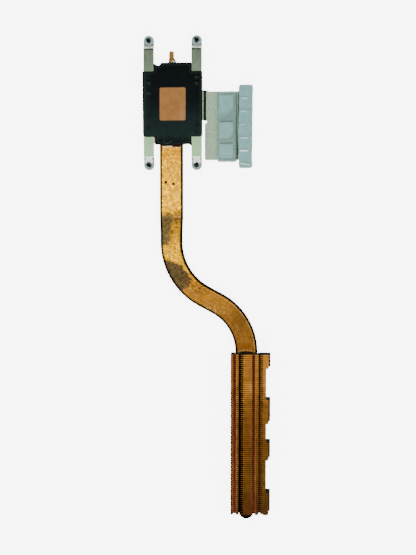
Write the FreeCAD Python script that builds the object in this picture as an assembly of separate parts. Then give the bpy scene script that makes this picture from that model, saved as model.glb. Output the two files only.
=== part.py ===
"""Laptop heatsink: a sprung copper contact plate, one flattened heat pipe and a stack of zipper fins.

The part lies on its back with the contact side up. The origin is the centre of the processor
contact face, +Z points out of that face, and +Y points from the pipe towards the pinched pipe end.
Everything below the contact face has a negative height. Lengths are millimetres, angles degrees.
"""

import FreeCAD
import Part

import math
import os

V = FreeCAD.Vector
Z_AXIS = V(0, 0, 1)
TINY = 1e-6

# Contact plate
CONTACT_X = 12.5
CONTACT_Y = 15.7
CONTACT_CORNER_R = 0.7
CONTACT_PROUD = 0.05
PLATE_X = 28.7
PLATE_Y = 32.0
PLATE_TAB_GAP = 0.1
PLATE_TAB_TOP = 18.3
PLATE_TAB_BOTTOM = 19.2
PLATE_CORNER_R = 0.8
PLATE_LEDGE_T = 1.2

# Insulating sheet over the contact plate
SHEET_T = 0.15
SHEET_LEFT = 14.7
SHEET_RIGHT = 14.4
SHEET_Y = 31.5
SHEET_TAB_TOP = 19.85
SHEET_TAB_LEFT = 8.3
SHEET_TAB_RIGHT = 9.2
SHEET_LEFT_TAPER = 0.2
SHEET_TAB_BOTTOM = 19.55
SHEET_PIPE_LIP = 0.5
SHEET_CORNER_R = 0.6
SHEET_CHAMFER = 1.9
SHEET_NICK_X = -7.1
SHEET_NICK_R = 1.6
SHEET_NICK_DEPTH = 1.3
SHEET_WINDOW_GAP = 0.1

# Spring strips
STRIP_T = 0.5
STRIP_W = 5.0
STRIP_SPACING = 23.3
STRIP_CORNER_TRIM = 0.001
STRIP_BEND_R = 0.35
EYE_TOP_Y = 30.6
EYE_BOTTOM_Y = -29.3
EYE_DROP = 1.3
EYE_FLAT = 2.6
EYE_RUN_TOP = 1.9
EYE_RUN_BOTTOM = 1.3
EYE_HOLE_GAP = 0.2

# Captive screws and the washers that keep them
WASHER_R = 2.4
WASHER_T = 0.6
SCREW_R = 1.0
SCREW_SHANK_R = 0.8
SCREW_GROOVE_R = 0.7
SCREW_GROOVE_GAP = 0.06
SCREW_THREAD_LENGTH = 1.5
SCREW_HEAD_R = 2.2
SCREW_HEAD_T = 1.1
SCREW_FLOAT = 0.6
SCREW_CHAMFER = 0.3
DRIVE_SLOT_L = 2.6
DRIVE_SLOT_W = 0.5
DRIVE_SLOT_DEPTH = 0.6

# Rivets through the strips
RIVET_R = 0.6
RIVET_HEAD_R = 0.85
RIVET_HEAD_T = 0.12
RIVET_GAP = 0.04
RIVET_BUMP_SLOPE = 0.45
LEFT_RIVETS_Y = (10.5, 5.6, -6.0, -11.2)
RIGHT_RIVETS_Y = (13.2, 10.2, 3.0, -3.1, -10.0, -13.8)

# Side plate for the power parts
SIDE_T = 0.5
SIDE_NECK_TOP = 6.6
SIDE_NECK_BOTTOM = -7.9
SIDE_TONGUE_LAP = 0.7
SIDE_NECK_OVERHANG = 1.0
SIDE_NECK_DROP = 1.7
SIDE_NECK_ANGLE = 62.0
SIDE_TOP = 6.2
SIDE_BOTTOM = -26.9
SIDE_LEFT_GAP = 1.2
SIDE_RIGHT = 37.8
SIDE_RELIEF = 1.0
SIDE_CORNER_R = 0.4
SIDE_BEND_R = 0.3
SHELF_FOLD_X = 31.9
SHELF_RISE = 1.2
SHELF_ANGLE = 75.0
SHELF_SLANT = 1.0
RECESS_GAP = 0.05

# Thermal pads and their film
INDUCTOR_PAD_X = 9.4
INDUCTOR_PAD_Y = 33.7
INDUCTOR_PAD_T = 1.2
INDUCTOR_PAD_GAP = 0.05
INDUCTOR_PAD_TOP = 5.8
INDUCTOR_SIZE = 7.1
INDUCTOR_CENTRES_Y = (0.9, -12.4, -22.9)
INDUCTOR_DENT = 0.3
DENT_SLOPE = 0.4
TRANSISTOR_PAD_X = 6.7
TRANSISTOR_PAD_Y = 40.0
TRANSISTOR_PAD_T = 1.5
TRANSISTOR_PAD_TOP = 9.0
TRANSISTOR_PAD_LEFT = 32.15
PAD_CORNER_R = 1.1
FILM_T = 0.08

# Heat pipe, flattened from a round tube of one diameter
PIPE_DIAMETER = 8.0
PIPE_WALL = 0.4
PIPE_WICK_T = 0.25
PIPE_THIN = 2.0
PIPE_THICK = 3.0
PIPE_X = -0.85
PIPE_SOLDER_T = 0.1
PIPE_SHOULDER_Y = 12.5
PIPE_END_Y = 19.0
PIPE_END_W = 5.2
PIPE_THIN_END_Y = -55.0
PIPE_THICK_START_Y = -63.0
PIPE_BEND_START_Y = -66.9
PIPE_SHIFT_X = 36.85
PIPE_BEND_1_R = 30.1
PIPE_BEND_2_R = 27.3
PIPE_BEND_ANGLE = 61.8
PIPE_PRESS_DEPTH = 0.15
PIPE_PRESS_LEAD = 1.2
PIPE_PRESS_R = 12.0
PIPE_NOSE_REACH = 3.9
PIPE_NOSE_W = 7.2
PIPE_NOSE_TAPER = 5.0
NIPPLE_BASE_W = 5.0
NIPPLE_W = 2.4
NIPPLE_T = 1.6
NIPPLE_WAIST_Y = 22.8
NIPPLE_TIP_Y = 26.0
NIPPLE_BASE_SHIFT = 0.95
NIPPLE_TIP_SHIFT = 0.1

# Fin stack
FIN_PITCH = 1.0
FIN_T = 0.2
FIN_HEIGHT = 8.0
FIN_LEFT = 7.55
FIN_WIDE_RIGHT = 10.85
FIN_WIDE_FLARE = 0.95
FIN_NARROW_RIGHT = 9.75
FIN_PIPE_GAP = 0.15
FIN_SOLDER_T = 0.1
FIN_LEAD = 0.2
FIN_GROUPS = (7, 15, 12, 9, 9, 16, 11)
COMB_STARTS = (-3.5, 6.05)
COMB_SLOT_W = 0.9
COMB_TOOTH_W = 1.3
COMB_TOOTH_L = 0.5
COMB_SLOT_DEPTH = 0.9
LOCK_CENTRES = (-5.65, 3.6)
LOCK_W = 1.3
LOCK_L = 0.7

# Heights worked out from the contact face down
PLATEAU_Z = -CONTACT_PROUD - SHEET_T
LEDGE_Z = PLATEAU_Z - STRIP_T
PLATE_BACK_Z = LEDGE_Z - PLATE_LEDGE_T
PIPE_TOP_Z = PLATE_BACK_Z - PIPE_SOLDER_T
BACK_Z = PIPE_TOP_Z - PIPE_THIN
FIN_TOP_Z = BACK_Z + FIN_HEIGHT
EYE_Z = PLATEAU_Z - EYE_DROP
SIDE_Z = LEDGE_Z - SIDE_NECK_DROP
SHELF_Z = SIDE_Z + SHELF_RISE

# Places along X worked out from their neighbours
PLATE_TAB_X = STRIP_SPACING - STRIP_W - 2 * PLATE_TAB_GAP
FIN_X = PIPE_X + PIPE_SHIFT_X
SIDE_NECK_FOLD_X = PLATE_X / 2 + SIDE_NECK_OVERHANG
SIDE_LEFT = PLATE_X / 2 + SIDE_LEFT_GAP
SHELF_FOOT_X = SHELF_FOLD_X - SIDE_BEND_R * math.tan(math.radians(SHELF_ANGLE / 2))
SHELF_DRIFT = (SIDE_NECK_TOP - SIDE_BOTTOM) * math.tan(math.radians(SHELF_SLANT))
INDUCTOR_PAD_LEFT = SHELF_FOOT_X - SHELF_DRIFT - INDUCTOR_PAD_GAP - INDUCTOR_PAD_X


def flattened_width(thickness):
    """Width of the round tube pressed to a thickness, with its circumference kept."""
    return thickness + math.pi * (PIPE_DIAMETER - thickness) / 2


def unit(vector):
    """A vector's direction."""
    return vector * (1 / vector.Length)


def outline(corners):
    """Closed wire through (x, y, radius) corners, rounded where the radius is above zero."""
    points = [V(x, y, 0) for x, y, _ in corners]
    starts, ends, arcs = [], [], []
    for i, (_, _, radius) in enumerate(corners):
        before = unit(points[i - 1] - points[i])
        after = unit(points[(i + 1) % len(points)] - points[i])
        half_angle = before.getAngle(after) / 2
        reach = radius / math.tan(half_angle)
        starts.append(points[i] + before * reach)
        ends.append(points[i] + after * reach)
        if radius > 0:
            middle = points[i] + unit(before + after) * (radius / math.sin(half_angle) - radius)
            arcs.append([Part.Arc(starts[i], middle, ends[i]).toShape()])
        else:
            arcs.append([])
    edges = []
    for i, arc in enumerate(arcs):
        edges += arc
        following = starts[(i + 1) % len(corners)]
        if (following - ends[i]).Length > TINY:
            edges.append(Part.makeLine(ends[i], following))
    return Part.Wire(edges)


def prism(wire, bottom, top):
    """Solid of a flat outline between two heights."""
    face = Part.Face(wire)
    face.translate(V(0, 0, bottom))
    return face.extrude(V(0, 0, top - bottom))


def block(x0, x1, y0, y1, z0, z1):
    """Rectangular solid between two opposite corners."""
    return Part.makeBox(x1 - x0, y1 - y0, z1 - z0, V(x0, y0, z0))


def plate(x0, x1, y0, y1, z0, z1, radius):
    """Rectangular solid with its four upright edges rounded."""
    corners = [(x0, y0, radius), (x1, y0, radius), (x1, y1, radius), (x0, y1, radius)]
    return prism(outline(corners), z0, z1)


def bent_section(path, thickness, inner_radius):
    """Closed outline of a bent sheet whose upper face follows the (u, height) path."""
    points = [V(u, height, 0) for u, height in path]
    upper, lower = [], []
    for i in range(1, len(points) - 1):
        into = unit(points[i] - points[i - 1])
        out = unit(points[i + 1] - points[i])
        upward = into.cross(out).z > 0
        radius, lower_radius = inner_radius, inner_radius + thickness
        side = V(-into.y, into.x, 0)
        if not upward:
            radius, lower_radius = lower_radius, radius
            side = side * -1
        reach = radius * math.tan(into.getAngle(out) / 2)
        start = points[i] - into * reach
        end = points[i] + out * reach
        centre = start + side * radius
        spokes = [unit(point - centre) for point in (start, points[i], end)]
        upper.append([centre + spoke * radius for spoke in spokes])
        lower.append([centre + spoke * lower_radius for spoke in spokes])
    first, last = unit(points[1] - points[0]), unit(points[-1] - points[-2])
    lower_first = points[0] + V(first.y, -first.x, 0) * thickness
    lower_last = points[-1] + V(last.y, -last.x, 0) * thickness
    edges = [Part.makeLine(points[0], lower_first), Part.makeLine(points[-1], lower_last)]
    for bends, begin, finish in ((upper, points[0], points[-1]), (lower, lower_first, lower_last)):
        here = begin
        for start, middle, end in bends:
            edges.append(Part.makeLine(here, start))
            edges.append(Part.Arc(start, middle, end).toShape())
            here = end
        edges.append(Part.makeLine(here, finish))
    return Part.Wire(Part.__sortEdges__(edges))


def stadium(centre, width, thickness):
    """Flattened tube section in the plane across Y."""
    half_flat = (width - thickness) / 2
    half = thickness / 2
    corners = [centre + V(sx * half_flat, 0, sz * half) for sx, sz in ((-1, 1), (1, 1), (1, -1), (-1, -1))]
    right = Part.Arc(corners[1], centre + V(width / 2, 0, 0), corners[2]).toShape()
    left = Part.Arc(corners[3], centre - V(width / 2, 0, 0), corners[0]).toShape()
    return Part.Wire([
        Part.makeLine(corners[0], corners[1]), right,
        Part.makeLine(corners[2], corners[3]), left])


def pipe_centreline():
    """Start point, bend centres and end point of the pipe's route in plan."""
    angle = math.radians(PIPE_BEND_ANGLE)
    sideways = (PIPE_BEND_1_R + PIPE_BEND_2_R) * (1 - math.cos(angle))
    middle_run = (PIPE_SHIFT_X - sideways) / math.sin(angle)
    start = V(PIPE_X, PIPE_BEND_START_Y, 0)
    centre_1 = start + V(PIPE_BEND_1_R, 0, 0)
    after_bend = centre_1 - V(math.cos(angle), math.sin(angle), 0) * PIPE_BEND_1_R
    run = V(math.sin(angle), -math.cos(angle), 0) * middle_run
    before_bend = after_bend + run
    centre_2 = before_bend - V(math.cos(angle), math.sin(angle), 0) * PIPE_BEND_2_R
    return centre_1, run, centre_2, centre_2 + V(PIPE_BEND_2_R, 0, 0)


def fin_start():
    """Y of the first fin's outer face."""
    return pipe_centreline()[3].y - FIN_LEAD


def fin_end():
    """Y where the last fin's flange ends."""
    return fin_start() - sum(FIN_GROUPS) * FIN_PITCH


def nose_taper_start():
    """Y where the pipe starts to narrow towards its nose."""
    return fin_end() - PIPE_NOSE_REACH + PIPE_NOSE_W / 2 + PIPE_NOSE_TAPER


def pipe_body(inset):
    """Pipe from its shoulder to its nose, its section shrunk by an inset all round."""
    thin_w = flattened_width(PIPE_THIN) - 2 * inset
    thin_t = PIPE_THIN - 2 * inset
    thick_w = flattened_width(PIPE_THICK) - 2 * inset
    thick_t = PIPE_THICK - 2 * inset
    thin_z = BACK_Z + PIPE_THIN / 2
    thick_z = BACK_Z + PIPE_THICK / 2
    centre_1, run, centre_2, straight = pipe_centreline()

    end_face = stadium(V(PIPE_X, PIPE_END_Y - inset, thin_z), PIPE_END_W - 2 * inset, thin_t)
    shoulder = stadium(V(PIPE_X, PIPE_SHOULDER_Y, thin_z), thin_w, thin_t)
    thin_end = stadium(V(PIPE_X, PIPE_THIN_END_Y, thin_z), thin_w, thin_t)
    thick_start = stadium(V(PIPE_X, PIPE_THICK_START_Y, thick_z), thick_w, thick_t)
    bend_start = stadium(V(PIPE_X, PIPE_BEND_START_Y, thick_z), thick_w, thick_t)
    fin_run = stadium(V(straight.x, straight.y, thick_z), thick_w, thick_t)
    nose_w = PIPE_NOSE_W - 2 * inset
    taper_y = nose_taper_start()
    taper_start = stadium(V(straight.x, taper_y, thick_z), thick_w, thick_t)
    nose_centre = V(straight.x, taper_y - PIPE_NOSE_TAPER, thick_z)

    middle = bend_start.copy()
    middle.rotate(centre_1, Z_AXIS, PIPE_BEND_ANGLE)
    pieces = [
        Part.makeLoft([end_face, shoulder], True, True),
        Part.Face(shoulder).extrude(V(0, PIPE_THIN_END_Y - PIPE_SHOULDER_Y, 0)),
        Part.makeLoft([thin_end, thick_start], True, True),
        Part.Face(thick_start).extrude(V(0, PIPE_BEND_START_Y - PIPE_THICK_START_Y, 0)),
        Part.Face(bend_start).revolve(centre_1, Z_AXIS, PIPE_BEND_ANGLE),
        Part.Face(middle).extrude(run),
        Part.Face(fin_run).revolve(centre_2, Z_AXIS, PIPE_BEND_ANGLE),
        Part.Face(fin_run).extrude(V(0, taper_y - straight.y, 0)),
        Part.makeLoft([taper_start, stadium(nose_centre, nose_w, thick_t)], True, True),
        pipe_nose(nose_centre, nose_w, thick_t)]
    return pieces[0].multiFuse(pieces[1:]).removeSplitter()


def pipe_nose(centre, width, thickness):
    """Closed round end: half of the section turned half way round."""
    section = Part.Face(stadium(centre, width, thickness))
    far_half = section.common(Part.makeBox(width, 2 * width, 2 * width, centre - V(0, width, width)))
    return far_half.revolve(centre, Z_AXIS, -180)


def nipple():
    """Pinched filling stub on the pipe's cold-drawn end."""
    middle_z = BACK_Z + PIPE_THIN / 2
    base = stadium(V(PIPE_X + NIPPLE_BASE_SHIFT, PIPE_END_Y, middle_z), NIPPLE_BASE_W, NIPPLE_T)
    waist = stadium(V(PIPE_X + NIPPLE_TIP_SHIFT, NIPPLE_WAIST_Y, middle_z), NIPPLE_W, NIPPLE_T)
    tip_centre = V(PIPE_X + NIPPLE_TIP_SHIFT, NIPPLE_TIP_Y - NIPPLE_W / 2, middle_z)
    neck = Part.Face(waist).extrude(V(0, tip_centre.y - NIPPLE_WAIST_Y, 0))
    tip = pipe_nose(tip_centre, NIPPLE_W, NIPPLE_T)
    tip.rotate(tip_centre, Z_AXIS, 180)
    return Part.makeLoft([base, waist], True, True).multiFuse([neck, tip])


def press_mark():
    """Shallow flat pressed into the pipe's top face, with a round front, up to the nose."""
    straight = pipe_centreline()[3]
    front = straight.y + PIPE_PRESS_LEAD
    top = BACK_Z + PIPE_THICK
    width = flattened_width(PIPE_THICK)
    back = front - PIPE_PRESS_R - (straight.y - fin_end()) - PIPE_NOSE_REACH
    disc = Part.makeCylinder(PIPE_PRESS_R, PIPE_THICK, V(straight.x, front - PIPE_PRESS_R, top - PIPE_PRESS_DEPTH))
    run = block(straight.x - width, straight.x + width, back, front - PIPE_PRESS_R,
                top - PIPE_PRESS_DEPTH, top + PIPE_THICK)
    return disc.fuse(run)


def heat_pipe():
    outside = pipe_body(0).fuse(nipple()).cut(press_mark())
    return outside.cut(pipe_body(PIPE_WALL)).removeSplitter()


def pipe_wick():
    return pipe_body(PIPE_WALL).cut(pipe_body(PIPE_WALL + PIPE_WICK_T))


def rivet_places():
    """Centres of all rivets, left strip first."""
    left = [V(-STRIP_SPACING / 2, y, 0) for y in LEFT_RIVETS_Y]
    right = [V(STRIP_SPACING / 2, y, 0) for y in RIGHT_RIVETS_Y]
    return left, right


def rivet_holes(places):
    """Clearance holes for rivet shanks, through the strips and the contact plate."""
    depth = PLATEAU_Z - PLATE_BACK_Z
    holes = [Part.makeCylinder(RIVET_R + RIVET_GAP, 2 * depth, V(p.x, p.y, PLATE_BACK_Z - depth / 2))
             for p in places]
    return Part.makeCompound(holes)


def rivet(place):
    shank = Part.makeCylinder(RIVET_R, PLATEAU_Z - PLATE_BACK_Z, V(place.x, place.y, PLATE_BACK_Z))
    head = Part.makeCone(RIVET_HEAD_R, RIVET_R, RIVET_HEAD_T, V(place.x, place.y, PLATEAU_Z))
    return shank.fuse(head).removeSplitter()


def rivets(places):
    return Part.makeCompound([rivet(place) for place in places])


def plate_outline():
    half_x, half_y, half_tab, r = PLATE_X / 2, PLATE_Y / 2, PLATE_TAB_X / 2, PLATE_CORNER_R
    return outline([
        (-half_x, -half_y, r), (-half_tab, -half_y, 0), (-half_tab, -PLATE_TAB_BOTTOM, r),
        (half_tab, -PLATE_TAB_BOTTOM, r), (half_tab, -half_y, 0), (half_x, -half_y, r),
        (half_x, half_y, r), (half_tab, half_y, 0), (half_tab, PLATE_TAB_TOP, r),
        (-half_tab, PLATE_TAB_TOP, r), (-half_tab, half_y, 0), (-half_x, half_y, r)])


def base_plate():
    half_tab = PLATE_TAB_X / 2
    body = prism(plate_outline(), PLATE_BACK_Z, PLATEAU_Z)
    for side in (-1, 1):
        inner, outer = sorted((side * half_tab, side * PLATE_X))
        body = body.cut(block(inner, outer, -PLATE_Y, PLATE_Y, LEDGE_Z, PLATEAU_Z + STRIP_T))
    body = body.fuse(plate(-CONTACT_X / 2, CONTACT_X / 2, -CONTACT_Y / 2, CONTACT_Y / 2,
                           PLATEAU_Z, 0, CONTACT_CORNER_R))
    recess = block(half_tab, PLATE_X, SIDE_NECK_BOTTOM - RECESS_GAP, SIDE_NECK_TOP + RECESS_GAP,
                   LEDGE_Z - SIDE_T, LEDGE_Z)
    left, right = rivet_places()
    return body.cut([recess, rivet_holes(left + right)]).removeSplitter()


def sheet_outline():
    """Sheet edge: a body with two tabs, a nick in the upper one and a lip over the pipe."""
    left, right, half_y, r = -SHEET_LEFT, SHEET_RIGHT, SHEET_Y / 2, SHEET_CORNER_R
    tab_y, lip_y = -SHEET_TAB_BOTTOM, -SHEET_TAB_BOTTOM - SHEET_PIPE_LIP
    lip = flattened_width(PIPE_THIN) / 2
    return outline([
        (left + SHEET_LEFT_TAPER, -half_y + SHEET_CHAMFER / 2, r),
        (left + SHEET_LEFT_TAPER + SHEET_CHAMFER / 2, -half_y, r),
        (-SHEET_TAB_LEFT, -half_y, 0), (-SHEET_TAB_LEFT, tab_y, r),
        (PIPE_X - lip, tab_y, r), (PIPE_X - lip + SHEET_PIPE_LIP, lip_y, r),
        (PIPE_X + lip - SHEET_PIPE_LIP, lip_y, r), (PIPE_X + lip, tab_y, r),
        (SHEET_TAB_RIGHT, tab_y, r), (SHEET_TAB_RIGHT, -half_y, 0),
        (right - SHEET_CHAMFER / 2, -half_y, r), (right, -half_y + SHEET_CHAMFER, r),
        (right, half_y, r), (SHEET_TAB_RIGHT, half_y, 0),
        (SHEET_TAB_RIGHT, SHEET_TAB_TOP, r), (-SHEET_TAB_RIGHT, SHEET_TAB_TOP, r),
        (-SHEET_TAB_RIGHT, half_y, 0), (left, half_y, r)])


def insulating_sheet():
    sheet = prism(sheet_outline(), PLATEAU_Z, PLATEAU_Z + SHEET_T)
    half_x, half_y = CONTACT_X / 2 + SHEET_WINDOW_GAP, CONTACT_Y / 2 + SHEET_WINDOW_GAP
    window = plate(-half_x, half_x, -half_y, half_y, PLATEAU_Z, PLATEAU_Z + SHEET_T,
                   CONTACT_CORNER_R + SHEET_WINDOW_GAP)
    nick_y = SHEET_TAB_TOP - SHEET_NICK_DEPTH + SHEET_NICK_R
    nick = Part.makeCylinder(SHEET_NICK_R, SHEET_T, V(SHEET_NICK_X, nick_y, PLATEAU_Z))
    left, right = rivet_places()
    bumps, hollows = [], []
    for place in left + right:
        base = V(place.x, place.y, PLATEAU_Z)
        bumps.append(Part.makeCone(RIVET_HEAD_R + RIVET_BUMP_SLOPE, RIVET_R, SHEET_T + RIVET_HEAD_T, base))
        hollows.append(Part.makeCone(RIVET_HEAD_R + RIVET_GAP, RIVET_R + RIVET_GAP, RIVET_HEAD_T, base))
    return sheet.cut([window, nick]).fuse(bumps).cut(hollows).removeSplitter()


def spring_strip(side, rivet_row):
    """Flat spring with two lowered eyes, lying along one ledge of the contact plate."""
    x = side * STRIP_SPACING / 2
    fold_top = EYE_TOP_Y - EYE_FLAT
    fold_bottom = EYE_BOTTOM_Y + EYE_FLAT
    path = [
        (EYE_BOTTOM_Y - STRIP_W, EYE_Z), (fold_bottom, EYE_Z),
        (fold_bottom + EYE_RUN_BOTTOM, PLATEAU_Z), (fold_top - EYE_RUN_TOP, PLATEAU_Z),
        (fold_top, EYE_Z), (EYE_TOP_Y + STRIP_W, EYE_Z)]
    section = Part.Face(bent_section(path, STRIP_T, STRIP_BEND_R))
    section.rotate(V(0, 0, 0), V(1, 1, 1), 120)
    section.translate(V(x - STRIP_W / 2, 0, 0))
    strip = section.extrude(V(STRIP_W, 0, 0))
    r = STRIP_W / 2
    plan = plate(x - r, x + r, EYE_BOTTOM_Y - r, EYE_TOP_Y + r, BACK_Z, FIN_TOP_Z,
                 r - STRIP_CORNER_TRIM)
    strip = strip.common(plan)
    hole_r = SCREW_R + EYE_HOLE_GAP
    holes = [Part.makeCylinder(hole_r, FIN_HEIGHT, V(x, y, BACK_Z)) for y in (EYE_TOP_Y, EYE_BOTTOM_Y)]
    return strip.cut(holes + [rivet_holes(rivet_row)]).removeSplitter()


def eye_places():
    """Name and centre of each strip eye."""
    x = STRIP_SPACING / 2
    return {
        "top_left": V(-x, EYE_TOP_Y, EYE_Z), "top_right": V(x, EYE_TOP_Y, EYE_Z),
        "bottom_left": V(-x, EYE_BOTTOM_Y, EYE_Z), "bottom_right": V(x, EYE_BOTTOM_Y, EYE_Z)}


def keeper_washer(eye):
    """Washer snapped into the screw's groove; it rests on the eye and keeps the screw captive."""
    disc = Part.makeCylinder(WASHER_R, WASHER_T, eye)
    return disc.cut(Part.makeCylinder(SCREW_GROOVE_R + SCREW_GROOVE_GAP, WASHER_T, eye))


def captive_screw(eye):
    """Screw with a groove for the washer below its short thread, turned from one profile."""
    groove_start = -SCREW_GROOVE_GAP
    groove_end = WASHER_T + SCREW_GROOVE_GAP
    thread_end = groove_end + SCREW_THREAD_LENGTH
    head_top = -STRIP_T - SCREW_FLOAT
    head_bottom = head_top - SCREW_HEAD_T
    profile = [
        (0, head_bottom), (SCREW_HEAD_R - SCREW_CHAMFER, head_bottom),
        (SCREW_HEAD_R, head_bottom + SCREW_CHAMFER), (SCREW_HEAD_R, head_top),
        (SCREW_SHANK_R, head_top), (SCREW_SHANK_R, groove_start),
        (SCREW_GROOVE_R, groove_start), (SCREW_GROOVE_R, groove_end),
        (SCREW_R, groove_end), (SCREW_R, thread_end - SCREW_CHAMFER),
        (SCREW_R - SCREW_CHAMFER, thread_end), (0, thread_end), (0, head_bottom)]
    face = Part.Face(Part.makePolygon([V(r, 0, z) for r, z in profile]))
    screw = face.revolve(V(0, 0, 0), Z_AXIS, 360)
    half_l, half_w = DRIVE_SLOT_L / 2, DRIVE_SLOT_W / 2
    slot_top = head_bottom + DRIVE_SLOT_DEPTH
    cross = block(-half_l, half_l, -half_w, half_w, head_bottom, slot_top).fuse(
        block(-half_w, half_w, -half_l, half_l, head_bottom, slot_top))
    screw = screw.cut(cross)
    screw.translate(eye)
    return screw


def side_plate():
    """Folded plate: a tongue under the right strip, a neck fold, a flat and a raised shelf."""
    tongue_x = PLATE_TAB_X / 2 + SIDE_TONGUE_LAP
    neck_run = SIDE_NECK_DROP / math.tan(math.radians(SIDE_NECK_ANGLE))
    shelf_run = SHELF_RISE / math.tan(math.radians(SHELF_ANGLE))
    neck_foot_x = SIDE_NECK_FOLD_X + neck_run
    notch_x = neck_foot_x + SIDE_BEND_R

    neck = Part.Face(bent_section([
        (tongue_x, LEDGE_Z), (SIDE_NECK_FOLD_X, LEDGE_Z),
        (neck_foot_x, SIDE_Z), (notch_x + SIDE_T, SIDE_Z)], SIDE_T, SIDE_BEND_R))
    shelf = Part.Face(bent_section([
        (SIDE_LEFT, SIDE_Z), (SHELF_FOLD_X, SIDE_Z),
        (SHELF_FOLD_X + shelf_run, SHELF_Z), (SIDE_RIGHT + SHELF_DRIFT, SHELF_Z)], SIDE_T, SIDE_BEND_R))
    solids = []
    for section, shift, length in (
            (neck, 0, SIDE_NECK_TOP - SIDE_NECK_BOTTOM), (shelf, -SHELF_DRIFT, SIDE_NECK_TOP - SIDE_BOTTOM)):
        section.rotate(V(0, 0, 0), V(1, 0, 0), 90)
        section.translate(V(0, SIDE_NECK_TOP, 0))
        solids.append(section.extrude(V(shift, -length, 0)))

    relief_y = SIDE_NECK_BOTTOM - SIDE_RELIEF
    flat_corners = outline([
        (notch_x, SIDE_TOP, 0), (notch_x, relief_y, 0), (SIDE_LEFT + SIDE_RELIEF / 2, relief_y, 0),
        (SIDE_LEFT, relief_y - SIDE_RELIEF, SIDE_CORNER_R),
        (SIDE_LEFT, SIDE_BOTTOM, SIDE_CORNER_R), (SIDE_RIGHT, SIDE_BOTTOM, SIDE_CORNER_R),
        (SIDE_RIGHT, SIDE_TOP, SIDE_CORNER_R)])
    flat = solids[1].common(prism(flat_corners, BACK_Z, FIN_TOP_Z))
    right = rivet_places()[1]
    return solids[0].fuse(flat).cut(rivet_holes(right)).removeSplitter()


def inductor_pad_block(top):
    """Pad with the dents that the inductors pressed into it, up to a height."""
    right = INDUCTOR_PAD_LEFT + INDUCTOR_PAD_X
    bottom = INDUCTOR_PAD_TOP - INDUCTOR_PAD_Y
    pad = plate(INDUCTOR_PAD_LEFT, right, bottom, INDUCTOR_PAD_TOP, SIDE_Z, top, PAD_CORNER_R)
    centre_x = INDUCTOR_PAD_LEFT + INDUCTOR_PAD_X / 2
    dents = []
    for y in INDUCTOR_CENTRES_Y:
        half = INDUCTOR_SIZE / 2
        low = outline([(centre_x + sx * half, y + sy * half, DENT_SLOPE)
                       for sx, sy in ((-1, -1), (1, -1), (1, 1), (-1, 1))])
        wide = half + DENT_SLOPE
        high = outline([(centre_x + sx * wide, y + sy * wide, 2 * DENT_SLOPE)
                        for sx, sy in ((-1, -1), (1, -1), (1, 1), (-1, 1))])
        low.translate(V(0, 0, top - INDUCTOR_DENT))
        high.translate(V(0, 0, top))
        dents.append(Part.makeLoft([low, high], True, True))
    return pad.cut(dents)


def inductor_pad():
    return inductor_pad_block(SIDE_Z + INDUCTOR_PAD_T)


def inductor_pad_film():
    top = SIDE_Z + INDUCTOR_PAD_T
    return inductor_pad_block(top + FILM_T).cut(inductor_pad_block(top))


def transistor_pad_plan(bottom, top):
    right = TRANSISTOR_PAD_LEFT + TRANSISTOR_PAD_X
    return plate(TRANSISTOR_PAD_LEFT, right, TRANSISTOR_PAD_TOP - TRANSISTOR_PAD_Y, TRANSISTOR_PAD_TOP,
                 bottom, top, PAD_CORNER_R)


def transistor_pad():
    return transistor_pad_plan(SHELF_Z, SHELF_Z + TRANSISTOR_PAD_T)


def transistor_pad_film():
    top = SHELF_Z + TRANSISTOR_PAD_T
    return transistor_pad_plan(top, top + FILM_T)


def plate_solder():
    """Solder between the contact plate's back and the flat of the thin pipe."""
    half = (flattened_width(PIPE_THIN) - PIPE_THIN) / 2
    return block(PIPE_X - half, PIPE_X + half, -PLATE_TAB_BOTTOM, PIPE_SHOULDER_Y, PIPE_TOP_Z, PLATE_BACK_Z)


def channel_top():
    """Height of the roof of the pipe channel in the fins."""
    return BACK_Z + PIPE_THICK - PIPE_PRESS_DEPTH + FIN_SOLDER_T


def fin_solder():
    """Solder between the flat top of the thick pipe and the fins' channel roofs."""
    half = (flattened_width(PIPE_THICK) - PIPE_THICK) / 2
    return block(FIN_X - half, FIN_X + half, nose_taper_start(), fin_start(),
                 channel_top() - FIN_SOLDER_T, channel_top())


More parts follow.
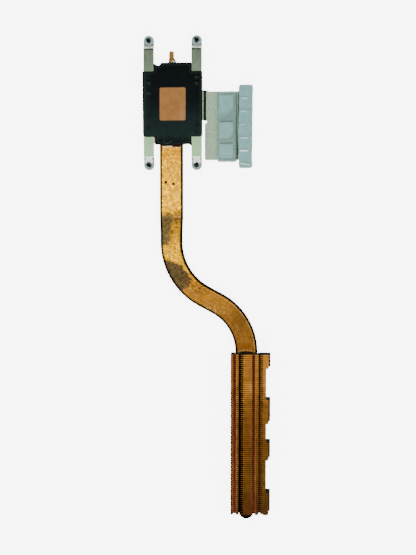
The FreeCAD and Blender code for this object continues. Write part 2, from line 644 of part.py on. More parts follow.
def fin(right_reach, flare):
    """One fin at the stack's start, folded from a blank whose far end may lean out towards the back.

    The near flange reaches the next fin and is open at the combs and at the lock slots. The two
    back flanges stand beside the pipe channel.
    """
    left, right = FIN_X - FIN_LEFT, FIN_X + right_reach
    far = right + flare
    half_channel = flattened_width(PIPE_THICK) / 2 + FIN_PIPE_GAP
    channel_left, channel_right = FIN_X - half_channel, FIN_X + half_channel
    roof = channel_top()
    start = fin_start()
    end = start - FIN_PITCH
    corners = [
        V(left, start, BACK_Z), V(channel_left, start, BACK_Z), V(channel_left, start, roof),
        V(channel_right, start, roof), V(channel_right, start, BACK_Z),
        V(far, start, BACK_Z), V(right, start, FIN_TOP_Z), V(left, start, FIN_TOP_Z)]
    blank = Part.Face(Part.makePolygon(corners + corners[:1])).extrude(V(0, -FIN_PITCH, 0))

    web_back, under = start - FIN_T, FIN_TOP_Z - FIN_T
    beyond_left, beyond_right = left - FIN_T, far + FIN_T
    cuts = [
        block(beyond_left, beyond_right, end, web_back, roof, under),
        block(beyond_left, channel_left, end, web_back, BACK_Z + FIN_T, roof),
        block(channel_right, beyond_right, end, web_back, BACK_Z + FIN_T, roof)]
    for centre in LOCK_CENTRES:
        lock_left = FIN_X + centre - LOCK_W / 2
        cuts.append(block(lock_left, lock_left + LOCK_W, end, end + LOCK_L, under, FIN_TOP_Z))
    for comb in COMB_STARTS:
        slot, tooth = FIN_X + comb, FIN_X + comb + COMB_SLOT_W
        cuts.append(block(slot, tooth, end, start, FIN_TOP_Z - COMB_SLOT_DEPTH, FIN_TOP_Z))
        cuts.append(block(tooth, tooth + COMB_TOOTH_W, end, start - COMB_TOOTH_L, under, FIN_TOP_Z))
    return blank.cut(cuts).removeSplitter()


def fin_groups():
    """Each run of equal fins by its name; wide and narrow runs take turns."""
    shapes = {"wide": fin(FIN_WIDE_RIGHT, FIN_WIDE_FLARE), "narrow": fin(FIN_NARROW_RIGHT, 0)}
    groups, done = {}, 0
    for number, count in enumerate(FIN_GROUPS):
        kind = "narrow" if number % 2 else "wide"
        solids = []
        for index in range(done, done + count):
            copy = shapes[kind].copy()
            copy.translate(V(0, -index * FIN_PITCH, 0))
            solids.append(copy)
        groups[f"{kind}_fins_{number // 2 + 1}"] = Part.makeCompound(solids)
        done += count
    return groups


def build():
    left_row, right_row = rivet_places()
    parts = {
        "heat_pipe": heat_pipe(), "pipe_wick": pipe_wick(), "base_plate": base_plate(),
        "plate_solder": plate_solder(), "fin_solder": fin_solder(),
        "insulating_sheet": insulating_sheet(),
        "left_spring_strip": spring_strip(-1, left_row), "right_spring_strip": spring_strip(1, right_row),
        "left_rivets": rivets(left_row), "right_rivets": rivets(right_row),
        "side_plate": side_plate(),
        "inductor_pad": inductor_pad(), "inductor_pad_film": inductor_pad_film(),
        "transistor_pad": transistor_pad(), "transistor_pad_film": transistor_pad_film()}
    for name, eye in eye_places().items():
        parts[f"keeper_washer_{name}"] = keeper_washer(eye)
        parts[f"captive_screw_{name}"] = captive_screw(eye)
    parts.update(fin_groups())
    return parts


os.makedirs("parts", exist_ok=True)
for node, shape in build().items():
    shape.exportStep(f"parts/{node}.step")
    print(node, "valid", shape.isValid(), "solids", len(shape.Solids), "volume", round(shape.Volume, 2))
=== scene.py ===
"""Looks of the laptop heatsink: finishes, soft pads with their films, insulating sheet, screw threads,
solder bead, light and camera.

The frame is the part's, in metres, and its origin is the centre of the contact face. The floor and the
lights are given in metres; the part's own places and sizes, and those for a finish, in millimetres.
"""

import math
from functools import reduce
from operator import mul

import bmesh
import bpy
from mathutils import Matrix, Vector, noise
from mathutils.geometry import delaunay_2d_cdt


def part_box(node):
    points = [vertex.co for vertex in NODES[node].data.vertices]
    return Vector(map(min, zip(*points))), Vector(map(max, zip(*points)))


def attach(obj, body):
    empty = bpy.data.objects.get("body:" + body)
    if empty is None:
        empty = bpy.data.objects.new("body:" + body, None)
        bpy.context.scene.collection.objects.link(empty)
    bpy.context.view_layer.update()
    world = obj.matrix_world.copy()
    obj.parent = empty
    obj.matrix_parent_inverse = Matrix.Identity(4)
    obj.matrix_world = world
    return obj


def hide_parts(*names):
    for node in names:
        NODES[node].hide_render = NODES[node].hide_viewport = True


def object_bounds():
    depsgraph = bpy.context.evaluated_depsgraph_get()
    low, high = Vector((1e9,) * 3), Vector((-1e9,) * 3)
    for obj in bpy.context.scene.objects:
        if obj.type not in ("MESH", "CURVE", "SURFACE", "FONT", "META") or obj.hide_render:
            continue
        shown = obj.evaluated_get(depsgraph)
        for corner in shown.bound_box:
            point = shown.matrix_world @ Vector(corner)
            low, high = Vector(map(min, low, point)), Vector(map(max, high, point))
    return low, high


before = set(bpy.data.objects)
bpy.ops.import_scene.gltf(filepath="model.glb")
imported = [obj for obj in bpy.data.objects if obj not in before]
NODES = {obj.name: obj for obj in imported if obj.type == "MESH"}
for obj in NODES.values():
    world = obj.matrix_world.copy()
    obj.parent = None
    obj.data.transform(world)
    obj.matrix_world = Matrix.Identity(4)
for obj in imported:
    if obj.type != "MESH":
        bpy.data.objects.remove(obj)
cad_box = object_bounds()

MM = 0.001
CORNERS = ("top_left", "top_right", "bottom_left", "bottom_right")

# Camera, fitted to the photograph's frame
IMAGE_HEIGHT_PX = 555
FOCAL_PX = 895.9
SENSOR_HEIGHT = 36.0
CAMERA_PLACE = Vector((43.8, -60.5, 435.9)) * MM
CAMERA_AIM = Vector((17.2, -84.1, 0.0)) * MM

# Floor and light; the sky's strength goes from below to above over a band of the upward direction
FLOOR_SIZE = 3.0
FLOOR_DROP = 0.02 * MM
FLOOR_GLOW = 6.0
SKY_ABOVE = 0.4
SKY_BELOW = 0.02
SKY_BAND = (-0.05, 0.25)
# Lights: place round the part and height above the horizon in degrees, distance and size in metres, power
LIGHTS = {
    "front": (-90, 36, 0.95, 0.45, 8.0),
    "back": (90, 33, 0.95, 0.45, 5.0),
    "left": (180, 36, 0.95, 0.45, 3.5),
    "right": (0, 40, 0.95, 0.45, 6.0),
}
GLINT_PLACE = Vector((-0.085, -0.03, 0.78))
GLINT_SIZE = 0.12
GLINT_POWER = 0.5

# Pipe: X of its straight run, centre and radius of its two bends, their meeting point and its direction
PIPE_X = -0.85
BEND_1 = (29.25, -66.9, 30.1)
BEND_2 = (8.7, -121.0, 27.3)
BEND_MEETING = (18.3, -95.2)
BEND_TURN = (0.88, -0.47)
# Round front edge of the flat that the fins' press left on the pipe: centre, and the radii of the highlight
# painted along it
PRESS_MARK = (35.7, -127.0, 0.0)
PRESS_HIGHLIGHT_RADII = (7.15, 7.55)
# Half width of the pipe before and after it thickens, and the width of the shade painted on its rounded sides
PIPE_HALF = (5.71, 5.43)
PIPE_SIDE_SHADE = 1.1
# Where the pipe thickens, where its upper side slopes there, and how much lighter it is painted there as
# painted light
PIPE_THICKENS = (-55, -63)
PIPE_SLOPE = (-54.95, -63.0)
PIPE_SLOPE_PAINTED_LIGHT = 1.65
# Ends of the pipe beyond which only its steepest faces get the painted shade, and the two pinholes near its
# start
PIPE_ENDS = (20, -199)
PIPE_PINHOLES = ((-3.55, -37.6), (0.13, -38.5))

# Fin stack: first face, pitch, underside of its top, and floor of the columns that are pierced in the top;
# the columns' X, with the shade painted in their depth
FIN_START = -121.2
FIN_PITCH = 1.0
FIN_INSIDE = 3.72
FIN_SLOT_FLOOR = 2.0
FIN_LOCKS = ((29.5, 31.05), (38.9, 40.2))
FIN_BEADS = ((31.15, 31.65), (40.35, 40.8))
FIN_SLOTS = ((32.3, 33.4), (42.0, 43.0))
FIN_TEETH = ((33.3, 34.8), (42.9, 44.3))
FIN_HOLLOW_SHADE = (0.004, 0.002, 0.001)

# Spring strips: X of their middles, the Y of the shade painted on their folds, and of the glare painted on
# their lowered ends
STRIP_X = 11.65
STRIP_FOLD_SHADE = (25.9, 26.7)
STRIP_TOP_GLARE = (26.9, 28.1)
STRIP_LOW_GLARE = (-25.6, -28.2)
# Side plate: X of the fold in its neck, and the colour of the shade painted on its folds
NECK_FOLD = (14.95, 15.85)
SIDE_FOLD_SHADE = (0.012, 0.013, 0.011)

# Washers: radius of the shade painted round each screw; how far below their middle the glare painted on the
# lower ones lies, and the half sizes of that patch
SCREW_SHADE_R = 1.25
GLARE_DROP = 1.7
GLARE_SIZE = (1.85, 1.35)


def box_mm(node):
    """Lowest and highest corner of a CAD node, in millimetres."""
    low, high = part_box(node)
    return Vector(low) / MM, Vector(high) / MM


class Finish:
    """A procedural material under construction; tone is its colour as painted so far."""

    def __init__(self, name, **surface):
        self.material = bpy.data.materials.new(name)
        self.material.use_nodes = True
        self.tree = self.material.node_tree
        self.shader = self.tree.nodes["Principled BSDF"]
        self.space = self.add("ShaderNodeTexCoord").outputs["Object"]
        self.x, self.y, self.z = self.add("ShaderNodeSeparateXYZ", {0: self.space}).outputs
        self.tone = None
        self.set(**surface)

    def add(self, kind, inputs=None, **settings):
        made = self.tree.nodes.new(kind)
        for key, value in settings.items():
            setattr(made, key, value)
        for key, value in (inputs or {}).items():
            self.feed(made.inputs[key], value)
        return made

    def feed(self, socket, value):
        """Links a socket to another, or sets its value; a colour gets its alpha."""
        if isinstance(value, bpy.types.NodeSocket):
            self.tree.links.new(value, socket)
        elif hasattr(socket.default_value, "__len__") and len(value) == 3 and len(socket.default_value) == 4:
            socket.default_value = (*value, 1.0)
        else:
            socket.default_value = value

    def set(self, **surface):
        """Sets sockets of the shader, named with _ for a space."""
        for key, value in surface.items():
            self.feed(self.shader.inputs[key.replace("_", " ")], value)

    def math(self, operation, first, second=0.0):
        return self.add("ShaderNodeMath", {0: first, 1: second}, operation=operation).outputs[0]

    def chain(self, operation, values):
        return reduce(lambda first, second: self.math(operation, first, second), values)

    def plus(self, *values):
        return self.chain("ADD", values)

    def minus(self, first, second):
        return self.math("SUBTRACT", first, second)

    def times(self, *factors):
        return self.chain("MULTIPLY", factors)

    def either(self, *factors):
        """The largest of several factors."""
        return self.chain("MAXIMUM", factors)

    def opposite(self, factor):
        return self.minus(1.0, factor)

    def vector(self, operation, first, second=(0, 0, 0)):
        made = self.add("ShaderNodeVectorMath", {0: first, 1: second}, operation=operation)
        return made.outputs["Value" if operation in ("LENGTH", "DISTANCE") else "Vector"]

    def join(self, x, y=0.0, z=0.0):
        return self.add("ShaderNodeCombineXYZ", {"X": x, "Y": y, "Z": z}).outputs[0]

    def choose(self, factor, first, second):
        """first where the factor is 0, second where it is 1."""
        return self.add("ShaderNodeMix", {0: factor, 2: first, 3: second}, data_type="FLOAT").outputs[0]

    def attribute(self, name):
        """A mark that the mesh carries."""
        return self.add("ShaderNodeAttribute", attribute_name=name).outputs["Fac"]

    def normal(self, axis):
        normal = self.add("ShaderNodeNewGeometry").outputs["Normal"]
        return self.add("ShaderNodeSeparateXYZ", {0: normal}).outputs[axis]

    def noise(self, scale, detail=3.0, roughness=0.55, stretch=(1, 1, 1), distortion=0.0, at=None):
        """Fractal noise; the scale counts features in a millimetre."""
        sized = self.vector("MULTIPLY", at or self.space, [s * scale / MM for s in stretch])
        return self.add("ShaderNodeTexNoise", {
            "Vector": sized, "Scale": 1.0, "Detail": detail, "Roughness": roughness,
            "Distortion": distortion}).outputs["Fac"]

    def cells(self, scale):
        """Distance to the nearest of scattered points; the scale counts points in a millimetre."""
        sized = self.vector("MULTIPLY", self.space, [scale / MM] * 3)
        return self.add("ShaderNodeTexVoronoi", {"Vector": sized, "Scale": 1.0}).outputs["Distance"]

    def ramp(self, value, *stops):
        """Colours or greys by value; stops are (position, colour or grey)."""
        made = self.add("ShaderNodeValToRGB", {0: value})
        elements = made.color_ramp.elements
        while len(elements) < len(stops):
            elements.new(0.5)
        for element, (position, colour) in zip(elements, stops):
            element.position = position
            grey = isinstance(colour, (int, float))
            element.color = (colour, colour, colour, 1.0) if grey else (*colour, 1.0)
        return made.outputs["Color"]

    def cloud(self, scale, *stops, **kind):
        """Colours or greys by noise."""
        return self.ramp(self.noise(scale, **kind), *stops)

    def span(self, value, start, end):
        """0 to 1 as a value goes from start to end, and level beyond them."""
        return self.add("ShaderNodeMapRange", {"Value": value, "From Min": start, "From Max": end}).outputs[0]

    def along(self, start, end, *stops):
        """Colours or greys between two places along Y."""
        return self.ramp(self.span(self.y, start * MM, end * MM), *stops)

    def below(self, value, place, blur):
        """1 where a value in metres is below a place, with a blurred border."""
        return self.span(value, (place + blur) * MM, (place - blur) * MM)

    def above(self, value, place, blur):
        """1 where a value in metres is above a place, with a blurred border."""
        return self.span(value, (place - blur) * MM, (place + blur) * MM)

    def band(self, value, first, last, blur):
        """1 while a value in metres lies between two places, with blurred ends."""
        low, high = sorted((first, last))
        return self.times(self.above(value, low, blur), self.below(value, high, blur))

    def bands(self, value, ranges, blur):
        return [self.band(value, *ends, blur) for ends in ranges]

    def distance(self, centre, scale):
        """Distance from a place seen from above, each axis times its scale."""
        return self.vector("LENGTH", self.vector(
            "MULTIPLY", self.vector("ADD", self.space, [-c * MM for c in (*centre, 0)]), (*scale, 0)))

    def patch(self, centre, size, blur):
        """1 inside an ellipse seen from above, falling to 0 outside it."""
        return self.span(self.distance(centre, [1 / (half * MM) for half in size]), 1 + blur, 1 - blur)

    def wobbled_patch(self, centre, radius, blur):
        """1 inside a round spot with an uneven border, falling to 0 outside it."""
        return self.below(self.wobbled(self.distance(centre, (1, 1)), 0.9, radius * 0.45), radius, blur)

    def wobbled(self, value, scale, reach):
        """A value in metres that noise pushes to and fro by up to a reach."""
        push = self.minus(self.noise(scale, detail=4, roughness=0.65), 0.5)
        return self.plus(value, self.times(push, 6 * reach * MM))

    def flatness(self, low, high):
        """1 where the surface lies flat, facing up or down, and 0 where it stands."""
        return self.span(self.math("ABSOLUTE", self.normal("Z")), low, high)

    def mix(self, factor, first, second, blend="MIX"):
        made = self.add("ShaderNodeMix", {0: factor, 6: first, 7: second}, data_type="RGBA", blend_type=blend)
        return made.outputs[2]

    def toward(self, share, colour):
        """The tone, part of the way to a colour."""
        return self.mix(share, self.tone, colour)

    def lit(self, *factors):
        """The tone times a factor for each of red, green and blue."""
        return self.mix(1.0, self.tone, factors, blend="MULTIPLY")

    def paint(self, factor, colour):
        """Lays a colour over the tone where the factor is 1."""
        self.tone = self.mix(factor, self.tone, colour)

    def stain(self, place, cloud, colour):
        """Lays a colour over the tone in a patch that noise breaks up."""
        scale, *stops = cloud
        self.paint(self.times(self.patch(*place), self.cloud(scale, *stops, detail=4)), colour)

    def bump(self, height, depth):
        """Surface relief; the depth is in millimetres."""
        made = self.add("ShaderNodeBump", {"Height": height, "Distance": depth * MM, "Strength": 1.0})
        self.set(Normal=made.outputs[0])

    def done(self, **surface):
        """Sets the last of the shader and gives the material."""
        self.set(Base_Color=self.tone, **surface)
        return self.material


def pipe_across(f):
    """Distance from the pipe's centreline in metres, positive towards its right side."""
    def offsets(place):
        return [f.minus(value, at * MM) for value, at in zip((f.x, f.y), place)]

    def radius(bend):
        return f.math("SQRT", f.plus(*(f.times(over, over) for over in offsets(bend[:2]))))

    straight = f.minus(f.x, PIPE_X * MM)
    first = f.minus(BEND_1[2] * MM, radius(BEND_1))
    second = f.minus(radius(BEND_2), BEND_2[2] * MM)
    past = f.plus(*(f.times(over, turn) for over, turn in zip(offsets(BEND_MEETING), BEND_TURN)))
    curved = f.choose(f.math("GREATER_THAN", past, 0.0), first, second)
    return f.choose(f.math("LESS_THAN", f.y, BEND_1[1] * MM), straight, curved)


def pipe_stains(f, across):
    """Dark olive and veined stains where the pipe slopes, and a belt of them across its first bend."""
    x, y = f.x, f.y
    olive = f.cloud(0.8, (0.42, (0.04, 0.028, 0.012)), (0.56, (0.135, 0.09, 0.034)),
                    detail=5, roughness=0.75)
    left = f.times(f.band(f.wobbled(y, 0.5, 1.0), -54.0, -68.4, 0.6),
                   f.below(f.wobbled(f.plus(x, f.times(y, -0.13)), 0.4, 1.1), 6.9, 0.4))
    veins = f.cloud(0.34, (0.42, 0.95), (0.47, 0.15), (0.51, 0.9), (0.56, 0.1), (0.6, 0.8),
                    detail=4, stretch=(1, 1.9, 1), distortion=2.2)
    f.paint(f.times(f.band(f.wobbled(y, 0.5, 1.4), -52.6, -66.5, 0.5), veins, 0.9), (0.155, 0.07, 0.016))
    cap = f.times(f.band(f.wobbled(y, 0.5, 1.4), -52.7, -58.0, 0.5),
                  f.cloud(0.5, (0.42, 0.85), (0.56, 0.3), detail=4, roughness=0.7))
    f.paint(cap, (0.115, 0.07, 0.022))
    belt = f.times(f.below(f.wobbled(f.plus(y, f.times(x, 0.31)), 0.45, 0.7), -76.6, 0.35),
                   f.above(f.wobbled(f.minus(y, x), 0.45, 1.8), -96.0, 0.5),
                   f.below(f.wobbled(across, 0.45, 0.9), 3.1, 0.35))
    f.paint(left, f.mix(0.6, olive, (0.115, 0.078, 0.028)))
    f.paint(belt, olive)
    flecks = f.cloud(1.2, (0.53, 0.0), (0.6, 0.35), roughness=0.7)
    f.paint(f.times(flecks, left), (0.3, 0.17, 0.03))


def pipe_wear(f, across):
    """Light and dark lines along the pipe's second bend, scratches, and a highlight painted inside its rim.
    """
    y = f.y
    lines = f.noise(2.2, at=f.join(across))
    f.paint(f.times(f.ramp(lines, (0.5, 0.0), (0.58, 0.7)), f.below(y, -88, 4),
                    f.cloud(0.25, (0.46, 0.1), (0.56, 1.0), detail=4)), (0.62, 0.3, 0.07))
    f.paint(f.times(f.ramp(lines, (0.42, 0.8), (0.49, 0.0)), f.below(y, -88, 4),
                    f.cloud(0.3, (0.46, 0.9), (0.56, 0.1), detail=4)), (0.16, 0.06, 0.014))
    f.paint(f.times(f.cloud(1.5, (0.56, 0.0), (0.62, 0.9), stretch=(1.0, 0.35, 1)),
                    f.patch((19.5, -100.0), (6.5, 2.8), 0.5)), (0.85, 0.46, 0.1))
    f.paint(f.patch((20.9, -100.2), (0.4, 0.24), 0.4), (0.95, 0.55, 0.14))
    # Painted highlight: a bright golden line just inside the pipe's right rim
    rim = f.times(f.band(f.wobbled(across, 0.3, 0.06), 3.95, 4.25, 0.1), f.below(y, -93, 3))
    f.paint(f.times(rim, f.cloud(0.35, (0.42, 0.35), (0.56, 0.95))), (0.95, 0.52, 0.1))


def pipe_finish():
    """Tarnished pipe: golden where it was rubbed, browner towards the fins, dark stains; painted sheen,
    highlights, light and shade.
    """
    f = Finish("pipe_copper", Specular_IOR_Level=0.0)
    across = pipe_across(f)
    x, y = f.x, f.y
    f.tone = f.along(-20, -125, (0.0, (0.68, 0.27, 0.0)), (0.1, (0.8, 0.37, 0.0)),
                     (0.33, (0.84, 0.41, 0.0)), (0.5, (0.9, 0.43, 0.0)), (0.6, (0.86, 0.39, 0.0)),
                     (0.68, (0.6, 0.26, 0.015)), (0.8, (0.345, 0.142, 0.024)), (1.0, (0.45, 0.168, 0.022)))
    f.stain(((-0.5, -26.0), (3.4, 9.0), 0.9), (0.5, (0.44, 0.1), (0.56, 0.8)), (0.72, 0.27, 0.02))
    f.paint(f.cloud(0.3, (0.4, 0.6), (0.52, 0.0), detail=5, roughness=0.7),
            f.toward(0.62, (0.3, 0.1, 0.0)))
    golden = f.above(y, -92, 5)
    crowd = f.along(-20, -54, (0.0, 0.5), (0.35, 0.2), (0.6, 0.25), (0.9, 0.6), (1.0, 0.6))
    f.paint(f.times(f.cloud(1.0, (0.48, 0.0), (0.57, 0.85), roughness=0.75), crowd, golden),
            (0.34, 0.11, 0.0))
    # Painted sheen: bright golden patches on the upper pipe
    f.paint(f.times(f.cloud(0.9, (0.52, 0.0), (0.6, 0.9), detail=4, roughness=0.7), f.above(y, -80, 4)),
            (1.0, 0.56, 0.0))
    pipe_stains(f, across)
    # Painted light: the slope where the pipe thickens is painted lighter
    f.paint(f.band(y, *PIPE_SLOPE, 0.12), f.lit(*(PIPE_SLOPE_PAINTED_LIGHT,) * 3))
    f.stain(((12.6, -89.6), (5.2, 3.4), 0.6), (0.9, (0.45, 0.1), (0.55, 0.9)), (0.165, 0.06, 0.02))
    f.stain(((33.4, -104.0), (3.0, 7.0), 0.7), (0.8, (0.44, 0.2), (0.56, 0.7)), (0.165, 0.105, 0.026))

    pits = f.times(f.ramp(f.cells(0.8), (0.2, 1.0), (0.34, 0.0)), f.cloud(0.45, (0.46, 0.1), (0.54, 1.0)))
    f.paint(f.times(pits, golden, f.along(-34, -54, (0.0, 0.35), (1.0, 0.95))), (0.13, 0.04, 0.002))
    for pinhole in PIPE_PINHOLES:
        f.paint(f.patch(pinhole, (0.72, 0.68), 0.3), (0.012, 0.01, 0.008))
    lip = f.wobbled(y, 0.5, 0.05)
    seam = f.either(f.times(f.band(x, -5.0, -0.4, 0.15), f.band(lip, -19.8, -20.65, 0.1)),
                    f.times(f.band(x, 0.6, 4.3, 0.3), f.band(lip, -20.65, -21.05, 0.12), 0.8))
    # Painted shadow: dark red where the sheet's lip overhangs the pipe
    f.paint(f.patch((1.8, -20.1), (2.0, 0.55), 0.15), (0.09, 0.006, 0.003))
    f.paint(f.times(seam, 0.85), (0.95, 0.8, 0.42))
    pipe_wear(f, across)

    # Painted highlight along the front edge of the press mark
    from_mark = f.vector("DISTANCE", f.join(x, y), [c * MM for c in PRESS_MARK])
    arc = f.times(f.band(from_mark, *PRESS_HIGHLIGHT_RADII, 0.1), f.above(y, -120.9, 0.1), f.band(x, 31.6, 39.6, 0.3))
    f.paint(f.times(arc, 0.7), (0.8, 0.52, 0.22))
    # Painted shadow where the pipe passes under the first fin
    f.paint(f.times(f.band(y, -120.5, -121.3, 0.1), f.band(x, 32.6, 39.4, 0.5)), (0.06, 0.02, 0.004))
    f.paint(f.along(18.5, 20.0, (0.0, 0.0), (1.0, 1.0)), (0.4, 0.18, 0.04))
    f.paint(f.below(y, -199.5, 0.4), (0.06, 0.02, 0.004))
    # Painted shade: the pipe's steep, rounded sides are painted near black
    first, last = PIPE_ENDS
    ends = f.either(f.math("GREATER_THAN", y, first * MM), f.math("LESS_THAN", y, last * MM))
    flat = f.choose(ends, f.flatness(0.92, 0.985), f.flatness(0.6, 0.9))
    half = f.choose(f.span(y, *(place * MM for place in PIPE_THICKENS)), *(half * MM for half in PIPE_HALF))
    flat = f.times(flat, f.below(f.minus(f.math("ABSOLUTE", across), half), -PIPE_SIDE_SHADE, 0.12))
    f.tone = f.mix(flat, (0.006, 0.003, 0.002), f.tone)
    f.bump(f.noise(1.2, detail=5), 0.02)
    return f.done(Roughness=f.cloud(0.8, (0.4, 0.26), (0.6, 0.38), detail=4), Metallic=flat)


def contact_finish():
    """Bare contact plate: matt copper with faint rub marks and a darker bloom."""
    f = Finish("plate_copper", Metallic=1.0)
    f.tone = f.cloud(0.3, (0.35, (0.33, 0.152, 0.049)), (0.65, (0.4, 0.192, 0.062)), detail=5)
    bloom = f.cloud(1.1, (0.42, 0.0), (0.62, 0.55), detail=5)
    f.paint(f.times(f.patch((0.6, -1.6), (3.0, 2.4), 0.9), bloom), (0.2, 0.082, 0.036))
    f.paint(f.times(f.patch((4.6, -5.8), (1.3, 2.6), 0.8), 0.4), (0.46, 0.25, 0.13))
    f.paint(f.below(f.y, -12.0, 1.0), (0.1, 0.032, 0.012))
    f.bump(f.noise(6.0, detail=2), 0.003)
    return f.done(Roughness=f.cloud(2.5, (0.3, 0.42), (0.7, 0.52)))


def fin_finish():
    """Thin tarnished copper, a little different from fin to fin, darker towards the pipe's nose, with painted
    shade and glints.
    """
    f = Finish("fin_copper", Specular_IOR_Level=0.0)
    x, y, z = f.x, f.y, f.z
    f.tone = f.along(-121, -201, (0.0, (0.58, 0.225, 0.034)), (0.18, (0.46, 0.185, 0.03)),
                     (0.3, (0.33, 0.138, 0.024)), (0.54, (0.245, 0.1, 0.016)),
                     (0.78, (0.165, 0.073, 0.011)), (0.93, (0.095, 0.042, 0.009)),
                     (1.0, (0.08, 0.034, 0.008)))
    bright = f.either(f.times(f.band(x, 44.4, 48.0, 0.3), f.above(y, -142, 8)),
                      f.patch((38.0, -137.5), (2.6, 3.6), 0.8),
                      f.times(f.band(x, 40.4, 42.0, 0.3), f.above(y, -137, 6), 0.4))
    f.paint(f.times(bright, 0.75), (0.82, 0.35, 0.05))
    f.paint(f.times(f.below(x, 29.5, 0.2), 0.35), (0.1, 0.052, 0.012))
    f.paint(f.times(f.below(x, 28.85, 0.15), 0.7), (0.06, 0.042, 0.014))
    count = f.math("DIVIDE", f.minus(FIN_START * MM, y), FIN_PITCH * MM)
    step = f.join(f.times(f.math("FLOOR", f.plus(count, 0.01)), 7.31))
    lot = f.add("ShaderNodeTexWhiteNoise", {"Vector": step}, noise_dimensions="3D").outputs["Value"]
    f.paint(f.times(lot, 0.42), f.toward(0.6, (0.05, 0.018, 0.004)))
    f.paint(f.cloud(0.14, (0.46, 0.0), (0.58, 0.5), detail=5, stretch=(1.3, 0.8, 1)),
            f.toward(0.45, (0.07, 0.03, 0.008)))
    seam = f.math("FRACT", f.plus(count, 0.1))
    # Painted shade in the seam between neighbouring fins
    f.paint(f.ramp(seam, (0.0, 0.9), (0.2, 0.8), (0.3, 0.0)), (0.022, 0.008, 0.003))
    singed = f.either(f.times(f.below(y, -189, 2.5), f.band(x, 34.8, 42.0, 0.4)),
                      f.times(f.band(y, -158.5, -173, 3), f.band(x, 39.0, 42.0, 0.4), 0.8),
                      f.times(f.band(y, -160, -172, 3), f.band(x, 34.8, 38.6, 0.5), 0.6))
    f.paint(f.times(singed, f.ramp(seam, (0.3, 1.0), (0.6, 0.0)), 0.65), (0.085, 0.012, 0.006))

    rusty = f.either(*f.bands(x, FIN_LOCKS, 0.1))
    # Oxide red in the lock columns, with highlights painted on the lock tabs and beads
    glints = f.ramp(seam, (0.3, 0.0), (0.45, 1.0), (0.65, 1.0), (0.8, 0.0))
    f.paint(f.times(rusty, 0.95), f.mix(glints, (0.17, 0.026, 0.012), (0.62, 0.25, 0.1)))
    f.paint(f.times(f.either(*f.bands(x, FIN_BEADS, 0.1)), glints, 0.35), (0.8, 0.42, 0.14))
    gap = f.ramp(seam, (0.0, 1.0), (0.48, 1.0), (0.56, 0.0), (0.94, 0.0), (1.0, 1.0))
    first_teeth, second_teeth = f.bands(x, FIN_TEETH, 0.1)
    f.paint(f.either(f.times(first_teeth, 0.85), second_teeth), f.lit(3.6, 3.5, 3.4))
    # Painted shade in the gaps between the comb's teeth and in its slots
    f.paint(f.either(f.times(first_teeth, gap), f.times(second_teeth, gap, 0.85)), (0.012, 0.004, 0.002))
    first_slot, second_slot = f.bands(x, FIN_SLOTS, 0.08)
    f.paint(f.either(f.times(first_slot, 0.8), f.times(second_slot, gap, 0.85)), FIN_HOLLOW_SHADE)

    low = box_mm("wide_fins_4")[0]
    # Painted shade inside the stack, below the fins' tops
    inside = f.times(f.math("LESS_THAN", z, FIN_INSIDE * MM), f.math("GREATER_THAN", z, (low.z + 0.05) * MM))
    rim = f.either(f.below(x, low.x + 1.0, 0.5), f.above(x, 44.6, 0.5))
    f.paint(inside, f.mix(rim, (0.003, 0.002, 0.001), (0.03, 0.008, 0.003)))
    # Painted shade on the upright faces: dark teal on the wide groups' front faces, maroon to black along the
    # sides
    fronts = [box_mm(node)[1].y for node in NODES if node.startswith("wide_fins")]
    shaded_fronts = f.times(f.either(*(f.band(y, front + 0.2, front - 0.05, 0.02) for front in fronts)),
                      f.either(f.above(y, -121.6, 0.1), f.above(x, 44.3, 0.1)),
                      f.math("GREATER_THAN", f.normal("Y"), 0.8))
    level = f.flatness(0.25, 0.6)
    edge = f.along(-121, -160, (0.0, (0.085, 0.026, 0.009)), (1.0, (0.034, 0.016, 0.007)))
    edge = f.mix(f.times(lot, 0.6), edge, f.mix(0.5, edge, (0.16, 0.065, 0.022)))
    edge = f.mix(f.times(f.above(x, 46.2, 0.1), 0.65), edge, (0.01, 0.005, 0.003))
    plate = f.mix(shaded_fronts, f.mix(rim, FIN_HOLLOW_SHADE, edge), (0.0035, 0.0085, 0.008))
    f.tone = f.mix(level, plate, f.tone)
    # Inside the pierced columns: painted shade, red-brown where the lock columns' oxide shows
    pierced = f.times(f.either(rusty, second_slot, second_teeth, f.band(x, 32.3, 34.9, 0.05)), inside,
                      f.math("GREATER_THAN", z, FIN_SLOT_FLOOR * MM), f.band(y, -121.5, low.y + 0.9, 0.05))
    pit = f.mix(rusty, FIN_HOLLOW_SHADE, (0.3, 0.028, 0.012))
    pit = f.mix(f.times(second_slot, f.opposite(f.times(gap, 0.8))), pit, (0.7, 0.28, 0.09))
    f.paint(pierced, f.mix(f.times(second_teeth, 0.8), pit, (0.22, 0.075, 0.024)))
    f.bump(f.noise(0.9), 0.006)
    return f.done(Roughness=f.cloud(0.6, (0.4, 0.34), (0.6, 0.48)), Metallic=level)


def even_finish(name, scale, dark, light, relief=None, detail=3.0, **surface):
    """Evenly mottled finish; relief gives the scale, detail and depth of its bumps."""
    f = Finish(name, **surface)
    f.tone = f.cloud(scale, (0.3, dark), (0.7, light), detail=detail)
    if relief:
        bumps, fine, depth = relief
        f.bump(f.noise(bumps, detail=fine), depth)
    return f


def wick_finish():
    return even_finish("wick_copper", 4.0, (0.25, 0.1, 0.05), (0.45, 0.2, 0.1), (5.0, 3.0, 0.05),
                       Metallic=1.0, Roughness=0.8).done()


def solder_finish():
    f = even_finish("solder", 1.5, (0.16, 0.19, 0.14), (0.44, 0.5, 0.42), (2.0, 3.0, 0.04), Metallic=1.0)
    return f.done(Roughness=f.cloud(2.0, (0.3, 0.25), (0.7, 0.5)))


def rivet_finish():
    return even_finish("rivet_steel", 3.0, (0.3, 0.3, 0.29), (0.5, 0.5, 0.48),
                       Metallic=1.0, Roughness=0.4).done()


